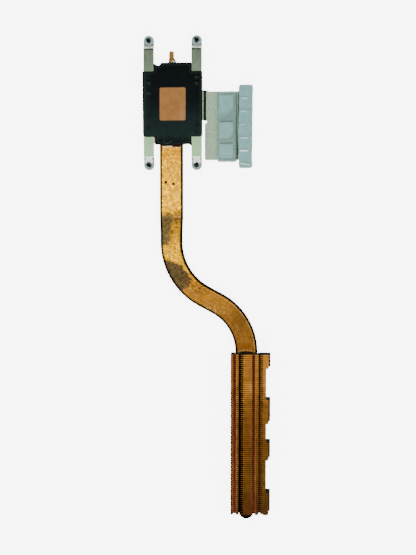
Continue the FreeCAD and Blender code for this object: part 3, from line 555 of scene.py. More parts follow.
def pad_finish():
    """Filled silicone, pale and soft."""
    return even_finish("pad_silicone", 0.8, (0.15, 0.27, 0.24), (0.19, 0.34, 0.305), (2.5, 3, 0.01),
                       detail=4, Metallic=0.0, Roughness=0.55, Subsurface_Weight=0.2,
                       Subsurface_Radius=(0.6 * MM,) * 3).done()


def sheet_finish():
    """Black polyester sheet: greyer towards its lower half, with painted shade and painted highlights where
    it is creased.
    """
    f = Finish("black_sheet", Metallic=0.0, Specular_IOR_Level=0.07)
    f.tone = f.along(14, -14, (0.0, (0.0006, 0.0016, 0.002)), (0.45, (0.0009, 0.0026, 0.0028)),
                     (0.75, (0.0034, 0.0092, 0.0082)), (1.0, (0.0046, 0.0118, 0.0104)))
    f.paint(f.times(f.below(f.x, -11.5, 1.5), 0.5), (0.006, 0.013, 0.0115))
    # Painted shade on the tab below the sheet's lower fold
    f.paint(f.below(f.y, -16.6, 1.3), (0.001, 0.003, 0.0034))
    f.paint(f.cloud(0.25, (0.44, 0.0), (0.6, 0.5), detail=5), f.lit(1.5, 1.4, 1.3))
    # Painted shade and painted highlights that the mesh carries
    f.paint(f.attribute("shade"), (0.0001, 0.0002, 0.0002))
    f.paint(f.attribute("gleam"), (0.018, 0.032, 0.029))
    f.bump(f.noise(7.0, detail=2), 0.002)
    return f.done(Roughness=f.cloud(0.5, (0.4, 0.34), (0.6, 0.48), detail=4))


def strip_finish():
    """Rolled spring steel with lengthwise grain; painted light makes it dark at the pinched end and bright
    below.
    """
    f = Finish("spring_steel", Metallic=1.0)
    y = f.y
    grain = f.noise(3.0, stretch=(1, 0.06, 1))
    # Painted light: the strips go from dark at the top to light below
    f.tone = f.along(22, -22, (0.0, (0.165, 0.22, 0.142)), (1.0, (0.39, 0.66, 0.35)))
    f.paint(f.ramp(grain, (0.35, 0.0), (0.7, 0.16)), f.toward(0.5, (0.9, 0.95, 0.85)))
    f.paint(f.cloud(0.3, (0.45, 0.0), (0.7, 0.25), detail=4), f.toward(0.5, (0.06, 0.07, 0.055)))
    # Painted shade on the folds, and painted glare on the lowered ends
    f.paint(f.band(y, *STRIP_FOLD_SHADE, 0.12), (0.03, 0.035, 0.03))
    glare = f.either(f.times(f.band(y, *STRIP_TOP_GLARE, 0.12), 0.6), f.band(y, *STRIP_LOW_GLARE, 0.15))
    f.paint(glare, (0.92, 0.95, 0.9))
    from_middle = f.math("ABSOLUTE", f.minus(f.math("ABSOLUTE", f.x), STRIP_X * MM))
    f.paint(f.times(f.opposite(f.below(from_middle, 2.0, 0.1)), f.below(y, -26.0, 0.1)), (0.2, 0.28, 0.27))
    for side in (-1, 1):
        for end in (-1, 1):
            f.paint(f.patch((side * STRIP_X + end * 2.1, -26.2), (0.55, 0.45), 0.4), (0.03, 0.04, 0.035))
    f.paint(f.times(f.band(f.x, 13.8, 15.0, 0.1), f.band(y, -19.0, -25.4, 0.2), 0.7), (0.1, 0.12, 0.09))
    f.bump(grain, 0.002)
    return f.done(Roughness=f.ramp(grain, (0.3, 0.34), (0.7, 0.42)), Metallic=f.opposite(glare))


def side_finish():
    """Matt plated sheet with an even fine grain, painted dark as shade on its steep folds."""
    f = Finish("side_plate", Metallic=1.0)
    grain = f.noise(2.4, detail=4, roughness=0.75)
    f.tone = f.ramp(grain, (0.36, (0.21, 0.31, 0.21)), (0.62, (0.5, 0.7, 0.48)))
    f.paint(f.cloud(0.9, (0.5, 0.0), (0.68, 0.55)), (0.36, 0.36, 0.29))
    # Painted shade on the neck's fold and on every steep face
    f.paint(f.band(f.x, *NECK_FOLD, 0.1), SIDE_FOLD_SHADE)
    f.tone = f.mix(f.flatness(0.55, 0.92), SIDE_FOLD_SHADE, f.tone)
    f.bump(grain, 0.012)
    return f.done(Roughness=0.5)


def washer_finish():
    """Smooth grey nylon, with painted shade round the screw and painted glare where the lower arms meet it.
    """
    f = Finish("keeper_washer", Metallic=0.0, Roughness=0.38, Subsurface_Weight=0.1,
               Subsurface_Radius=(0.5 * MM,) * 3)
    f.tone = f.cloud(1.2, (0.42, (0.165, 0.25, 0.245)), (0.58, (0.225, 0.325, 0.315)))
    for corner in CORNERS:
        low, high = box_mm(f"keeper_washer_{corner}")
        x, y = (low.x + high.x) / 2, (low.y + high.y) / 2
        # Painted glare on the lower washers, and painted shade round each screw
        if y < 0:
            f.paint(f.patch((x, y + GLARE_DROP), GLARE_SIZE, 0.12), (0.92, 0.95, 0.92))
        f.paint(f.wobbled_patch((x - 0.1, y + 0.1), SCREW_SHADE_R, 0.12), (0.006, 0.008, 0.008))
    f.bump(f.noise(2.0), 0.01)
    return f.done()


def screw_finish():
    """Black plated steel, worn to bright metal in specks."""
    f = Finish("screw_steel", Metallic=1.0)
    wear = f.cloud(2.4, (0.62, 0.0), (0.68, 1.0))
    f.tone = f.mix(wear, (0.006, 0.007, 0.008), (0.22, 0.24, 0.22))
    f.bump(f.noise(4.0), 0.01)
    return f.done(Roughness=0.42)


def film_finish():
    """Clear film on the pad: bluish where it lies flat on it, greener where it has lifted, with painted shade
    and highlights.
    """
    f = Finish("pad_film", Metallic=0.0, Roughness=0.24, Coat_Weight=0.3, Coat_Roughness=0.15)
    mottle = f.noise(0.35, detail=4)
    lifted = f.ramp(mottle, (0.3, (0.084, 0.145, 0.114)), (0.7, (0.11, 0.187, 0.15)))
    flat = f.ramp(mottle, (0.3, (0.132, 0.28, 0.264)), (0.7, (0.16, 0.332, 0.314)))
    f.tone = f.mix(f.attribute("pressed"), lifted, flat)
    f.paint(f.attribute("shade"), (0.06, 0.1, 0.074))
    f.paint(f.attribute("gleam"), (0.7, 0.9, 0.9))
    f.bump(f.noise(0.6, detail=2), 0.02)
    return f.done()


def floor_finish():
    return Finish("floor_paper", Metallic=0.0, Roughness=0.9, Base_Color=(0.9, 0.9, 0.9),
                  Emission_Color=(1.0, 1.0, 1.0), Emission_Strength=FLOOR_GLOW).material


def linked(name, data):
    """New object in the scene."""
    thing = bpy.data.objects.new(name, data)
    bpy.context.collection.objects.link(thing)
    return thing


def finished(mesh, name):
    """Mesh from a bmesh, which is freed."""
    mesh.normal_update()
    result = bpy.data.meshes.new(name)
    mesh.to_mesh(result)
    mesh.free()
    return result


def dress(node, material):
    """Gives a CAD node its finish."""
    thing = NODES[node]
    thing.data.materials.clear()
    thing.data.materials.append(material)


def piece(name, mesh, material, body, slot, *nodes):
    """Object from a finished mesh that rides on a body and may stand for CAD nodes."""
    thing = linked(name, mesh)
    mesh.materials.append(material)
    for polygon in mesh.polygons:
        polygon.use_smooth = True
    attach(thing, body)
    if nodes:
        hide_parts(*nodes)
    return thing


def rounded(x, y, half_x, half_y, radius):
    """Moves a point of a rectangle so that the rectangle's corners become round."""
    over_x, over_y = abs(x) - (half_x - radius), abs(y) - (half_y - radius)
    if over_x <= 0 or over_y <= 0:
        return x, y
    ax, ay = over_x / radius, over_y / radius
    new_x = half_x - radius + radius * ax * math.sqrt(1 - ay * ay / 2)
    new_y = half_y - radius + radius * ay * math.sqrt(1 - ax * ax / 2)
    return math.copysign(new_x, x), math.copysign(new_y, y)


# Marks that a soft mesh carries for its finish: how flat a film lies, its painted shade and its painted
# highlight
MARKS = ("pressed", "shade", "gleam")
UNMARKED = (0.0, 0.0, 0.0)


def marked(mesh):
    """Function that adds a vertex with its marks to a bmesh."""
    layers = [mesh.verts.layers.float.new(mark) for mark in MARKS]

    def add(place, marks):
        vertex = mesh.verts.new(place * MM)
        for mark, value in zip(layers, marks):
            vertex[mark] = value
        return vertex
    return add


def slab(name, low, high, cell, relief, base_relief):
    """Closed soft slab: a grid for its top, one for its base, and an edge between them.

    relief and base_relief give each top and base point's shift (x, y, z) and its marks, one for each of
    MARKS, from the point's place in millimetres and its distance to the slab's edge.
    """
    centre = (low + high) / 2
    half_x, half_y = (high.x - low.x) / 2, (high.y - low.y) / 2
    count_x, count_y = (max(4, round(2 * half / cell)) for half in (half_x, half_y))
    mesh = bmesh.new()
    add = marked(mesh)

    def layer(z, shift):
        rows = []
        for i in range(count_x + 1):
            row = []
            for j in range(count_y + 1):
                x, y = (-half_x + 2 * half_x * i / count_x, -half_y + 2 * half_y * j / count_y)
                edge = min(half_x - abs(x), half_y - abs(y))
                x, y = rounded(x, y, half_x, half_y, PAD_CORNER)
                place = Vector((centre.x + x, centre.y + y, z))
                move, marks = shift(place, edge)
                row.append(add(place + move, marks))
            rows.append(row)
        return rows

    top = layer(high.z, relief)
    base = layer(low.z, base_relief)
    for i in range(count_x):
        for j in range(count_y):
            mesh.faces.new((top[i][j], top[i + 1][j], top[i + 1][j + 1], top[i][j + 1]))
            mesh.faces.new((base[i][j], base[i][j + 1], base[i + 1][j + 1], base[i + 1][j]))
    rim = [(i, 0) for i in range(count_x)] + [(count_x, j) for j in range(count_y)]
    rim += [(i, count_y) for i in range(count_x, 0, -1)] + [(0, j) for j in range(count_y, 0, -1)]
    for (i, j), (k, m) in zip(rim, rim[1:] + rim[:1]):
        mesh.faces.new((base[i][j], base[k][m], top[k][m], top[i][j]))
    return finished(mesh, name)


def smooth(value, start, end):
    """Smooth step from 0 at start to 1 at end."""
    t = min(1.0, max(0.0, (value - start) / (end - start)))
    return t * t * (3 - 2 * t)


def bell(offset, width):
    """1 at no offset, falling to nearly 0 at twice the width."""
    return math.exp(-(offset / width) ** 2)


# Pads and films: corner radius, and grid steps of a pad and of the inner and outer films
PAD_CORNER = 1.1
PAD_CELL = 0.3
FILM_CELLS = {"inductor": 0.22, "transistor": 0.15}

# Dents of the inductors in the inner pad: top, bottom, how far the lower right corner is cut off, and
# how dark the shade painted at the film's fold above the dent is
INDUCTOR_DENTS = ((4.3, -4.6, 2.6, 0.45), (-8.6, -16.2, 1.6, 1.0), (-19.2, -25.8, 0.4, 0.9))
DENT_CENTRE_X = -0.43
DENT_HALF_X = 3.45
DENT_DEPTH = 0.24
DENT_EDGE = 0.45
DENT_CORNER_EDGE = 1.3
DENT_TAIL = (-3.9, -8.3, 1.9)
DENT_FOLD_WIDTH = 0.45
# Rolled edge of the films: its width and drop
FILM_EDGE = 0.55
FILM_ROLL = 0.3


def dent(x, y, centre_x):
    """How deep a point lies in an inductor's dent, from 0 to 1."""
    deepest = 0.0
    for top, bottom, cut, _ in INDUCTOR_DENTS:
        inside = min(x - (centre_x - DENT_HALF_X), centre_x + DENT_HALF_X - x, top - y, y - bottom)
        corner = ((centre_x + DENT_HALF_X - x) + (y - bottom) - cut) * math.sqrt(0.5)
        deepest = max(deepest, min(smooth(inside, -DENT_EDGE, DENT_EDGE),
                                   smooth(corner, -DENT_CORNER_EDGE, DENT_CORNER_EDGE)))
    start, end, reach = DENT_TAIL
    tail = smooth(y, end, start) * smooth(start + 1.5 - y, 0.0, 1.0)
    return max(deepest, 0.7 * tail * smooth(centre_x - DENT_HALF_X + reach + (y - end) - x, 0.0, 1.5))


def dent_fold(x, y, centre_x):
    """Shade of the folds that the film makes above and to the right of each dent."""
    shade = 0.0
    for top, bottom, _, dark in INDUCTOR_DENTS:
        along = smooth(x, centre_x - DENT_HALF_X - 0.4, centre_x - DENT_HALF_X + 1.2)
        along *= smooth(centre_x + DENT_HALF_X + 0.6 - x, 0.0, 1.0)
        shade = max(shade, dark * along * bell(y - top - 0.25, DENT_FOLD_WIDTH))
        beside = smooth(y, bottom + 1.2, bottom + 2.4) * smooth(top + 0.4 - y, 0.0, 1.2)
        shade = max(shade, 0.4 * beside * bell(x - centre_x - DENT_HALF_X - 0.35, 0.35))
    return shade


def roll(edge):
    """Drop of a film or pad near its edge."""
    if edge >= FILM_EDGE:
        return 0.0
    t = 1 - max(edge, 0.0) / FILM_EDGE
    return FILM_ROLL * (1 - math.sqrt(max(0.0, 1 - t * t)))


def padded_pair(kind, materials, pad_top, film_top, pad_base, film_base):
    """Soft pad and the film on it, from the reliefs of their tops and bases."""
    low, high = box_mm(f"{kind}_pad")
    film_low, film_high = box_mm(f"{kind}_pad_film")
    mesh = slab(f"{kind}_pad_soft", low, high, PAD_CELL, pad_top, pad_base)
    pad = piece(f"{kind}_pad_soft", mesh, materials[0], "heatsink", "pad_silicone", f"{kind}_pad")
    film_low.z = high.z
    mesh = slab(f"{kind}_film", film_low, film_high, FILM_CELLS[kind], film_top, film_base)
    piece(f"{kind}_film", mesh, materials[1], "heatsink", "pad_film", f"{kind}_pad_film")


def inductor_pads(*materials):
    """Inner pad with its dents and the film pressed into them."""
    low, high = box_mm("inductor_pad")
    centre_x = (low.x + high.x) / 2 + DENT_CENTRE_X

    def surface(place, edge):
        depth = dent(place.x, place.y, centre_x)
        ripple = 0.03 * noise.noise(Vector((place.x * 0.35, place.y * 0.35, 2.0)))
        return -DENT_DEPTH * depth - roll(edge) + ripple, depth

    def pad_top(place, edge):
        return Vector((0, 0, surface(place, edge)[0] - 0.02)), UNMARKED

    def film_top(place, edge):
        drop, depth = surface(place, edge)
        rim = 0.55 * bell(edge - 0.45, 0.35) * smooth(low.y + 4 - place.y, 0.0, 2.0)
        # Painted shade at the film's folds, along its right edge and near its lower edge
        shade = max(dent_fold(place.x, place.y, centre_x), 0.5 * bell(place.x - high.x + 0.25, 0.3))
        shade = max(shade, 0.4 * bell(edge - 1.05, 0.25) * smooth(low.y + 3 - place.y, 0.0, 1.5))
        return Vector((0, 0, min(0.0, drop))), (min(1.0, 0.25 + 0.75 * depth + rim), shade, 0.0)

    padded_pair("inductor", materials, pad_top, film_top, lambda place, edge: (Vector(), UNMARKED),
                lambda place, edge: (Vector((0, 0, min(0.0, surface(place, edge)[0]))), UNMARKED))


# Creases across the outer pad's film: middle, half length, slope, half width of its painted highlight, and
# strength
TRANSISTOR_CREASES = (
    (34.9, 2.4, 2.0, 0.02, 0.15, 0.75), (34.6, -3.8, 1.7, 0.02, 0.15, 0.7),
    (34.1, -10.0, 1.2, 0.05, 0.15, 0.5), (35.0, -16.55, 2.1, 0.0, 0.17, 0.85),
    (34.8, -22.7, 2.3, 0.0, 0.32, 0.95), (35.3, -29.1, 2.7, -0.19, 0.2, 0.9))
CREASE_DEPTH = 0.1
# Outline of the outer pad: bulge of its left side and lean of its right side
PAD_BULGE = 0.45
PAD_BULGE_Y = -15.0
PAD_BULGE_REACH = 9.0
PAD_LEAN = 0.3


def transistor_pads(*materials):
    """Outer pad, a long bar with a rolled edge that bulges to the left, and its creased film with painted
    highlights.
    """
    low, high = box_mm("transistor_pad")

    def surface(place, edge):
        drop = -roll(edge) + 0.03 * noise.noise(Vector((place.x * 0.3, place.y * 0.3, 9.0)))
        shade, gleam = 0.0, 0.0
        for x, y, half_length, slope, width, bright in TRANSISTOR_CREASES:
            offset = place.y - y - slope * (place.x - x)
            along = 1 - smooth(abs(place.x - x), half_length * 0.6, half_length * 1.1)
            drop += CREASE_DEPTH * bright * along * (bell(offset, 0.35) - 1.2 * bell(offset - 0.55, 0.35))
            taper = width * (0.4 + 0.6 * along)
            # Painted highlight along each crease, and painted shade beside it
            gleam = max(gleam, bright * along * bell(offset, taper))
            shade = max(shade, 0.55 * along * bell(offset - width - 0.35, 0.28),
                        0.25 * bell(offset - 0.9, 0.5))
        return drop, (1.0, shade, gleam)

    def sideways(place):
        share = (place.x - low.x) / (high.x - low.x)
        bulge = -PAD_BULGE * bell(place.y - PAD_BULGE_Y, PAD_BULGE_REACH) * (1 - share)
        lean = -PAD_LEAN * share * (high.y - place.y) / (high.y - low.y)
        wave = 0.18 * noise.noise(Vector((place.y * 0.22, 4.0, share))) * abs(2 * share - 1)
        return bulge + lean + wave

    def pad_top(place, edge):
        return Vector((sideways(place), 0, surface(place, edge)[0] - 0.04)), UNMARKED

    def film_top(place, edge):
        drop, marks = surface(place, edge)
        return Vector((sideways(place), 0, min(0.04, drop))), marks

    def film_base(place, edge):
        return Vector((sideways(place), 0, min(0.0, surface(place, edge)[0]))), UNMARKED

    padded_pair("transistor", materials, pad_top, film_top,
                lambda place, edge: (Vector((sideways(place), 0, 0)), UNMARKED), film_base)


# Insulating sheet: its outline's corners with their radius
SHEET_OUTLINE = (
    (-14.5, -14.8, 0.6), (-13.55, -15.75, 0.6), (-8.3, -15.75, 0), (-8.3, -19.55, 0.5), (-5.55, -19.55, 0.5),
    (-5.1, -20.05, 0.4), (3.4, -20.05, 0.4), (4.5, -19.6, 0.6), (5.7, -19.5, 0.6), (7.3, -19.0, 1.0),
    (9.25, -20.1, 0.1), (9.2, -15.75, 0), (13.45, -15.75, 0.6), (14.4, -13.85, 0.6), (14.4, 15.75, 0.6),
    (9.2, 15.75, 0), (9.2, 19.85, 0.5), (-5.5, 19.85, 0.5), (-6.1, 18.75, 0.5), (-7.1, 18.5, 0.9),
    (-8.2, 18.9, 0.4), (-9.2, 19.7, 0.3), (-9.2, 15.75, 0), (-14.7, 15.75, 0.6))
# Half sizes of its window, the window's corner radius and how much shorter it is at its lower end
SHEET_WINDOW = (6.35, 7.95, 0.8)
WINDOW_SHORTER = 0.05
SHEET_CELL = 0.42
# Least distance of the mesh's inner points from the outline and the window
SHEET_CLEAR = 0.15
# Thickness shown, and how far the sheet lies below the top of the contact plate
SHEET_THICKNESS = 0.12
SHEET_SINK = 0.05
# Rivets below it, and the height, top radius and foot radius of the bump over each
SHEET_RIVETS = {-STRIP_X: (10.5, 5.6, -6.0, -11.2), STRIP_X: (13.2, 10.2, 3.0, -3.1, -10.0, -13.8)}
RIVET_BUMP = (0.115, 0.55, 1.25)
# Folds of the sheet: places that each runs through, height, half width, strength of the highlight painted on
# its crest and of the shade painted on its lower side
SHEET_FOLDS = (
    (((-4.6, -17.9), (-2.85, -19.25), (-0.2, -17.6)), 0.14, 0.24, 0.9, 0.9),
    (((-4.9, -16.3), (-4.0, -17.3)), 0.06, 0.2, 0.45, 0.4),
    (((-2.3, -14.4), (-1.2, -15.4), (-0.2, -16.3)), 0.07, 0.22, 0.35, 0.7),
    (((-1.3, -13.5), (-2.1, -13.1)), 0.04, 0.2, 0.2, 0.2),
    (((-12.4, -14.2), (-10.9, -14.6), (-8.9, -15.5)), 0.06, 0.28, 0.1, 0.5))
# Painted shade and highlight over the upper and the lower rivets: offset along Y, half sizes and strength
UPPER_RIVET_SHADING = ((0.85, 0.75, 0.5, 1.0), (-0.45, 0.8, 0.45, 0.8))
LOWER_RIVET_SHADING = ((1.2, 0.65, 0.45, 0.5), (-0.2, 0.9, 0.6, 1.0))


def rounded_outline(corners, cell):
    """Closed outline from corners with radii, cut into steps no longer than a cell."""
    points = []
    for index, (x, y, radius) in enumerate(corners):
        here = Vector((x, y))
        back = Vector(corners[index - 1][:2]) - here
        ahead = Vector(corners[(index + 1) % len(corners)][:2]) - here
        if radius == 0:
            points.append(here)
            continue
        half = back.angle(ahead) / 2
        reach = min(radius / math.tan(half), back.length * 0.45, ahead.length * 0.45)
        first, last = here + back.normalized() * reach, here + ahead.normalized() * reach
        for step in range(5):
            t = step / 4
            points.append(first * (1 - t) ** 2 + here * 2 * t * (1 - t) + last * t ** 2)
    result = []
    for start, end in zip(points, points[1:] + points[:1]):
        steps = max(1, math.ceil((end - start).length / cell))
        result += [start.lerp(end, step / steps) for step in range(steps)]
    return result


def within(point, outline):
    """Whether a point lies inside a closed outline."""
    inside = False
    for start, end in zip(outline, outline[1:] + outline[:1]):
        if (start.y > point.y) != (end.y > point.y):
            cross = start.x + (point.y - start.y) * (end.x - start.x) / (end.y - start.y)
            if point.x < cross:
                inside = not inside
    return inside


def to_line(point, start, end):
    """Offset of a point from a stretch of line and the side on which it lies."""
    span = end - start
    t = min(1.0, max(0.0, (point - start).dot(span) / span.length_squared))
    away = point - (start + span * t)
    return away.length, away.y


def sheet_surface(point, border):
    """Height above the flat sheet in millimetres, and the marks of a place on it, with painted shade and
    highlight.
    """
    height = 0.02 * noise.noise(Vector((point.x * 0.2, point.y * 0.2, 6.0)))
    shade, gleam = 0.0, 0.0
    bump, top_r, foot_r = RIVET_BUMP
    for x, rows in SHEET_RIVETS.items():
        for y in rows:
            away = math.hypot(point.x - x, point.y - y)
            height += bump * (1 - smooth(away, top_r, foot_r))
            high_up = y > 4
            upper, lower = (
                strength * bell(math.hypot((point.x - x) / half_x, (point.y - y - offset) / half_y), 1.0)
                for offset, half_x, half_y, strength in (UPPER_RIVET_SHADING if high_up else LOWER_RIVET_SHADING))
            glint = 0.3 * bell(math.hypot(point.x - x, (point.y - y) * 2.0), 0.5)
            shade = max(shade, upper, 0.0 if high_up else lower)
            gleam = max(gleam, lower if high_up else glint)
    for places, rise, width, bright, dark in SHEET_FOLDS:
        places = [Vector(place) for place in places]
        for start, end in zip(places, places[1:]):
            away, above = to_line(point, start, end)
            height += rise * bell(away, width * 1.3)
            gleam = max(gleam, bright * bell(away, width))
            if above < 0:
                shade = max(shade, dark * bell(away - 0.5, 0.45))
    # Painted shade along the sheet's edge, and a painted highlight just inside it
    shade = max(shade, 1 - smooth(border, 0.25, 0.75))
    gleam = max(gleam * smooth(border, 0.1, 0.4), 0.3 * bell(border - 0.95, 0.28))
    return height, (0.0, min(1.0, shade * (1 - gleam)), min(1.0, gleam))


def insulating_sheet(material):
    """Thin creased sheet that follows the rivet heads below it."""
    low, high = box_mm("insulating_sheet")
    flat = box_mm("base_plate")[1].z - SHEET_SINK
    half_x, half_y, radius = SHEET_WINDOW
    end = WINDOW_SHORTER - half_y
    window = rounded_outline([(x, y, radius) for x, y in (
        (-half_x, end), (half_x, end), (half_x, half_y), (-half_x, half_y))], SHEET_CELL)
    edge = rounded_outline(SHEET_OUTLINE, SHEET_CELL)
    points = edge + window
    sides = [(start + i, start + (i + 1) % len(line)) for start, line in ((0, edge), (len(edge), window))
             for i in range(len(line))]
    rows, columns = round((high.y - low.y + 1) / SHEET_CELL), round((high.x - low.x + 1) / SHEET_CELL)

    def nearest(point, outline):
        return min(to_line(point, *line)[0] for line in zip(outline, outline[1:] + outline[:1]))

    borders = [0.0] * len(edge) + [1.0] * len(window)
    for i in range(columns):
        for j in range(rows):
            stagger = 0.5 * (j % 2)
            point = Vector((low.x - 0.4 + (i + stagger) * SHEET_CELL, low.y - 0.6 + j * SHEET_CELL))
            if not within(point, edge) or within(point, window):
                continue
            border = nearest(point, edge)
            if border > SHEET_CLEAR and nearest(point, window) > SHEET_CLEAR:
                points.append(point)
                borders.append(border)
    places, _, faces, origins, _, _ = delaunay_2d_cdt(points, sides, [], 0, 1e-5)
    mesh = bmesh.new()
    add = marked(mesh)
    made = []
    for place, sources in zip(places, origins):
        height, marks = sheet_surface(place, borders[sources[0]] if sources else 1.0)
        made.append(add(Vector((place.x, place.y, flat + height)), marks))
    for face in faces:
        centre = (places[face[0]] + places[face[1]] + places[face[2]]) / 3
        if within(centre, edge) and not within(centre, window):
            mesh.faces.new([made[k] for k in face])
    for vertex in [v for v in mesh.verts if not v.link_faces]:
        mesh.verts.remove(vertex)
    name = "insulating_sheet_film"
    thing = piece(name, finished(mesh, name), material, "heatsink", "black_sheet", "insulating_sheet")
    depth = thing.modifiers.new("depth", "SOLIDIFY")
    depth.thickness = SHEET_THICKNESS * MM
    depth.offset = -1.0


# Screw: thread, groove, steps round a turn and along a pitch, and head
THREAD_PITCH = 0.4
THREAD_DEPTH = 0.18
SCREW_R = 1.0
GROOVE_R = 0.7
TURN_STEPS = 40
LEVELS_PER_PITCH = 8
HEAD_R = 2.2
HEAD_T = 1.1
# Underside of the head, by height above its face: radii of the drive's dimple, then insets from its side
DIMPLE = ((0.0, 0.6), (0.55, 0.55), (1.3, 0.02))
HEAD_FOOT = ((0.35, 0.0), (0.08, 0.14), (0.0, 0.4))
# Inset and drop of the head's upper edge, and how much wider the groove is than the washer, at each face
HEAD_EDGE = (0.08, 0.06)
GROOVE_PLAY = 0.06
# Tip: length and depth of its taper, radius and depth of its end ring, and depth of its middle
TIP_TAPER = (0.35, 0.3)
TIP_RING = (0.42, 0.02)
TIP_DEPTH = 0.12


def turned_screw(name, node, washer):
    """Screw with a real helical thread above its washer, a groove, a plain shank and a dimpled head."""
    low, high = box_mm(node)
    washer_low, washer_high = box_mm(washer)
    centre = (low + high) / 2
    head_top = low.z + HEAD_T
    groove_low, groove_high = washer_low.z - GROOVE_PLAY, washer_high.z + GROOVE_PLAY
    inset, drop = HEAD_EDGE
    profile = [(radius, low.z + height) for radius, height in DIMPLE]
    profile += [(HEAD_R - inward, low.z + height) for inward, height in HEAD_FOOT]
    profile += [(HEAD_R, head_top - drop), (HEAD_R - inset, head_top), (SCREW_R, head_top),
                (SCREW_R, groove_low), (GROOVE_R, groove_low), (GROOVE_R, groove_high),
                (SCREW_R - THREAD_DEPTH, groove_high)]
    steps = round((high.z - groove_high) / THREAD_PITCH * LEVELS_PER_PITCH)
    thread = [groove_high + (high.z - groove_high) * i / steps for i in range(1, steps)]
    mesh = bmesh.new()
    rings = [[point] * TURN_STEPS for point in profile[1:]]
    taper_length, taper_depth = TIP_TAPER
    for z in thread:
        ring = []
        for k in range(TURN_STEPS):
            phase = (z / THREAD_PITCH - k / TURN_STEPS) % 1.0
            crest = 1 - abs(2 * phase - 1)
            end_taper = taper_depth * smooth(z, high.z - taper_length, high.z)
            radius = SCREW_R - THREAD_DEPTH * (1 - smooth(crest, 0.2, 0.75)) - end_taper
            ring.append((radius, z))
        rings.append(ring)
    rings.append([(TIP_RING[0], high.z - TIP_RING[1])] * TURN_STEPS)

    def ring_vertices(ring):
        return [mesh.verts.new(Vector((
            centre.x + radius * math.cos(math.tau * k / TURN_STEPS),
            centre.y + radius * math.sin(math.tau * k / TURN_STEPS), z)) * MM)
            for k, (radius, z) in enumerate(ring)]

    made = [ring_vertices(ring) for ring in rings]
    bottom = mesh.verts.new(Vector((centre.x, centre.y, profile[0][1])) * MM)
    top = mesh.verts.new(Vector((centre.x, centre.y, high.z - TIP_DEPTH)) * MM)
    for k in range(TURN_STEPS):
        following = (k + 1) % TURN_STEPS
        mesh.faces.new((bottom, made[0][following], made[0][k]))
        mesh.faces.new((top, made[-1][k], made[-1][following]))
        for lower, upper in zip(made, made[1:]):
            mesh.faces.new((lower[k], lower[following], upper[following], upper[k]))
    return finished(mesh, name)


def screws(material):
    """The four captive screws, with crisp edges."""
    for corner in CORNERS:
        name = f"threaded_screw_{corner}"
        node = f"captive_screw_{corner}"
        mesh = turned_screw(name, node, f"keeper_washer_{corner}")
        thing = piece(name, mesh, material, f"screw_{corner}", "screw_steel", node)
        edges = thing.modifiers.new("edges", "EDGE_SPLIT")
        edges.split_angle = math.radians(50)


# Solder bead at the pinched end of the pipe
BEAD_HALF = Vector((1.5, 0.75, 0.4))
BEAD_CENTRE = Vector((0.0, 20.5, 1.6))


def solder_bead(material):
    """Uneven bead of solder where the filling stub leaves the pipe's end."""
    centre = BEAD_CENTRE + Vector((0, 0, box_mm("heat_pipe")[0].z))
    mesh = bmesh.new()
    bmesh.ops.create_icosphere(mesh, subdivisions=4, radius=1.0)
    for vertex in mesh.verts:
        swell = 1 + 0.22 * noise.noise(vertex.co * 1.7 + Vector((3, 1, 4)))
        vertex.co = (centre + Vector(map(mul, vertex.co, BEAD_HALF)) * swell) * MM
    piece("pipe_end_solder", finished(mesh, "pipe_end_solder"), material, "heatsink", "solder")


def floor():
    """Pale floor just below the part."""
    size = FLOOR_SIZE / 2
    z = cad_box[0][2] - FLOOR_DROP
    mesh = bpy.data.meshes.new("floor")
    mesh.from_pydata([(-size, -size, z), (size, -size, z), (size, size, z), (-size, size, z)], [],
                     [(0, 1, 2, 3)])
    mesh.materials.append(floor_finish())
    thing = linked("floor", mesh)
    thing.visible_glossy = False


def aimed(direction, up):
    """Rotation that looks along a direction with its top towards up."""
    forward = direction.normalized()
    right = forward.cross(up).normalized()
    top = right.cross(forward)
    return Matrix((right, top, -forward)).transposed().to_4x4()


def camera():
    """Camera at the photograph's angle."""
    data = bpy.data.cameras.new("camera")
    data.sensor_fit = "VERTICAL"
    data.sensor_height = SENSOR_HEIGHT
    data.lens = FOCAL_PX / IMAGE_HEIGHT_PX * SENSOR_HEIGHT
    data.clip_start = 0.01
    thing = linked("camera", data)
    turn = aimed(CAMERA_AIM - CAMERA_PLACE, Vector((0, 1, 0)))
    thing.matrix_world = Matrix.Translation(CAMERA_PLACE) @ turn
    bpy.context.scene.camera = thing


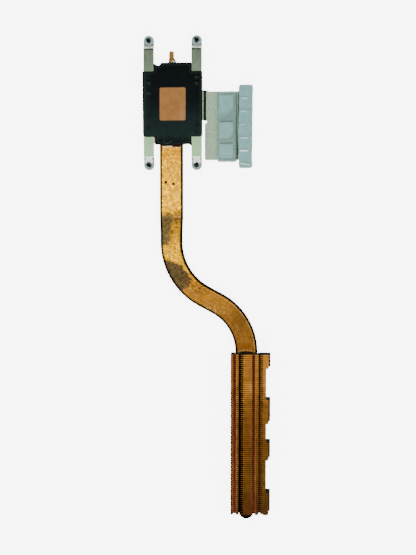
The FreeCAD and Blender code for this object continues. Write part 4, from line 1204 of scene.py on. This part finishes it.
def area_light(name, place, size, power):
    """Round soft light that is aimed where the camera is."""
    data = bpy.data.lights.new(name, "AREA")
    data.shape = "DISK"
    data.size = size
    data.energy = power
    thing = linked(name, data)
    thing.matrix_world = Matrix.Translation(place) @ aimed(CAMERA_AIM - place, Vector((0.1, 1, 0.2)))


def sky():
    """World light that is brighter above the horizon than below it."""
    world = bpy.data.worlds.new("studio")
    world.use_nodes = True
    nodes, links = world.node_tree.nodes, world.node_tree.links
    direction = nodes.new("ShaderNodeTexCoord").outputs["Generated"]
    split = nodes.new("ShaderNodeSeparateXYZ")
    level = nodes.new("ShaderNodeMapRange")
    for name, value in zip(("From Min", "From Max", "To Min", "To Max"), (*SKY_BAND, SKY_BELOW, SKY_ABOVE)):
        level.inputs[name].default_value = value
    links.new(direction, split.inputs[0])
    links.new(split.outputs["Z"], level.inputs["Value"])
    links.new(level.outputs[0], nodes["Background"].inputs["Strength"])
    nodes["Background"].inputs["Color"].default_value = (1.0, 1.0, 1.0, 1.0)
    bpy.context.scene.world = world


def lights():
    """Sky, four soft lights round the part and a small one that glints on it."""
    sky()
    for name, (around, height, distance, size, power) in LIGHTS.items():
        around, height = math.radians(around), math.radians(height)
        reach = distance * math.cos(height)
        offset = Vector((reach * math.cos(around), reach * math.sin(around), distance * math.sin(height)))
        area_light(name, CAMERA_AIM + offset, size, power)
    area_light("glint", GLINT_PLACE, GLINT_SIZE, GLINT_POWER)


camera()
lights()
floor()

solder = solder_finish()
for finish, nodes in (
        (pipe_finish(), ["heat_pipe"]),
        (wick_finish(), ["pipe_wick"]),
        (contact_finish(), ["base_plate"]),
        (solder, ["plate_solder", "fin_solder"]),
        (strip_finish(), ["left_spring_strip", "right_spring_strip"]),
        (rivet_finish(), ["left_rivets", "right_rivets"]),
        (side_finish(), ["side_plate"]),
        (fin_finish(), [node for node in NODES if "_fins_" in node]),
        (washer_finish(), [f"keeper_washer_{corner}" for corner in CORNERS])):
    for node in nodes:
        dress(node, finish)

insulating_sheet(sheet_finish())
pad, film = pad_finish(), film_finish()
inductor_pads(pad, film)
transistor_pads(pad, film)
screws(screw_finish())
solder_bead(solder)
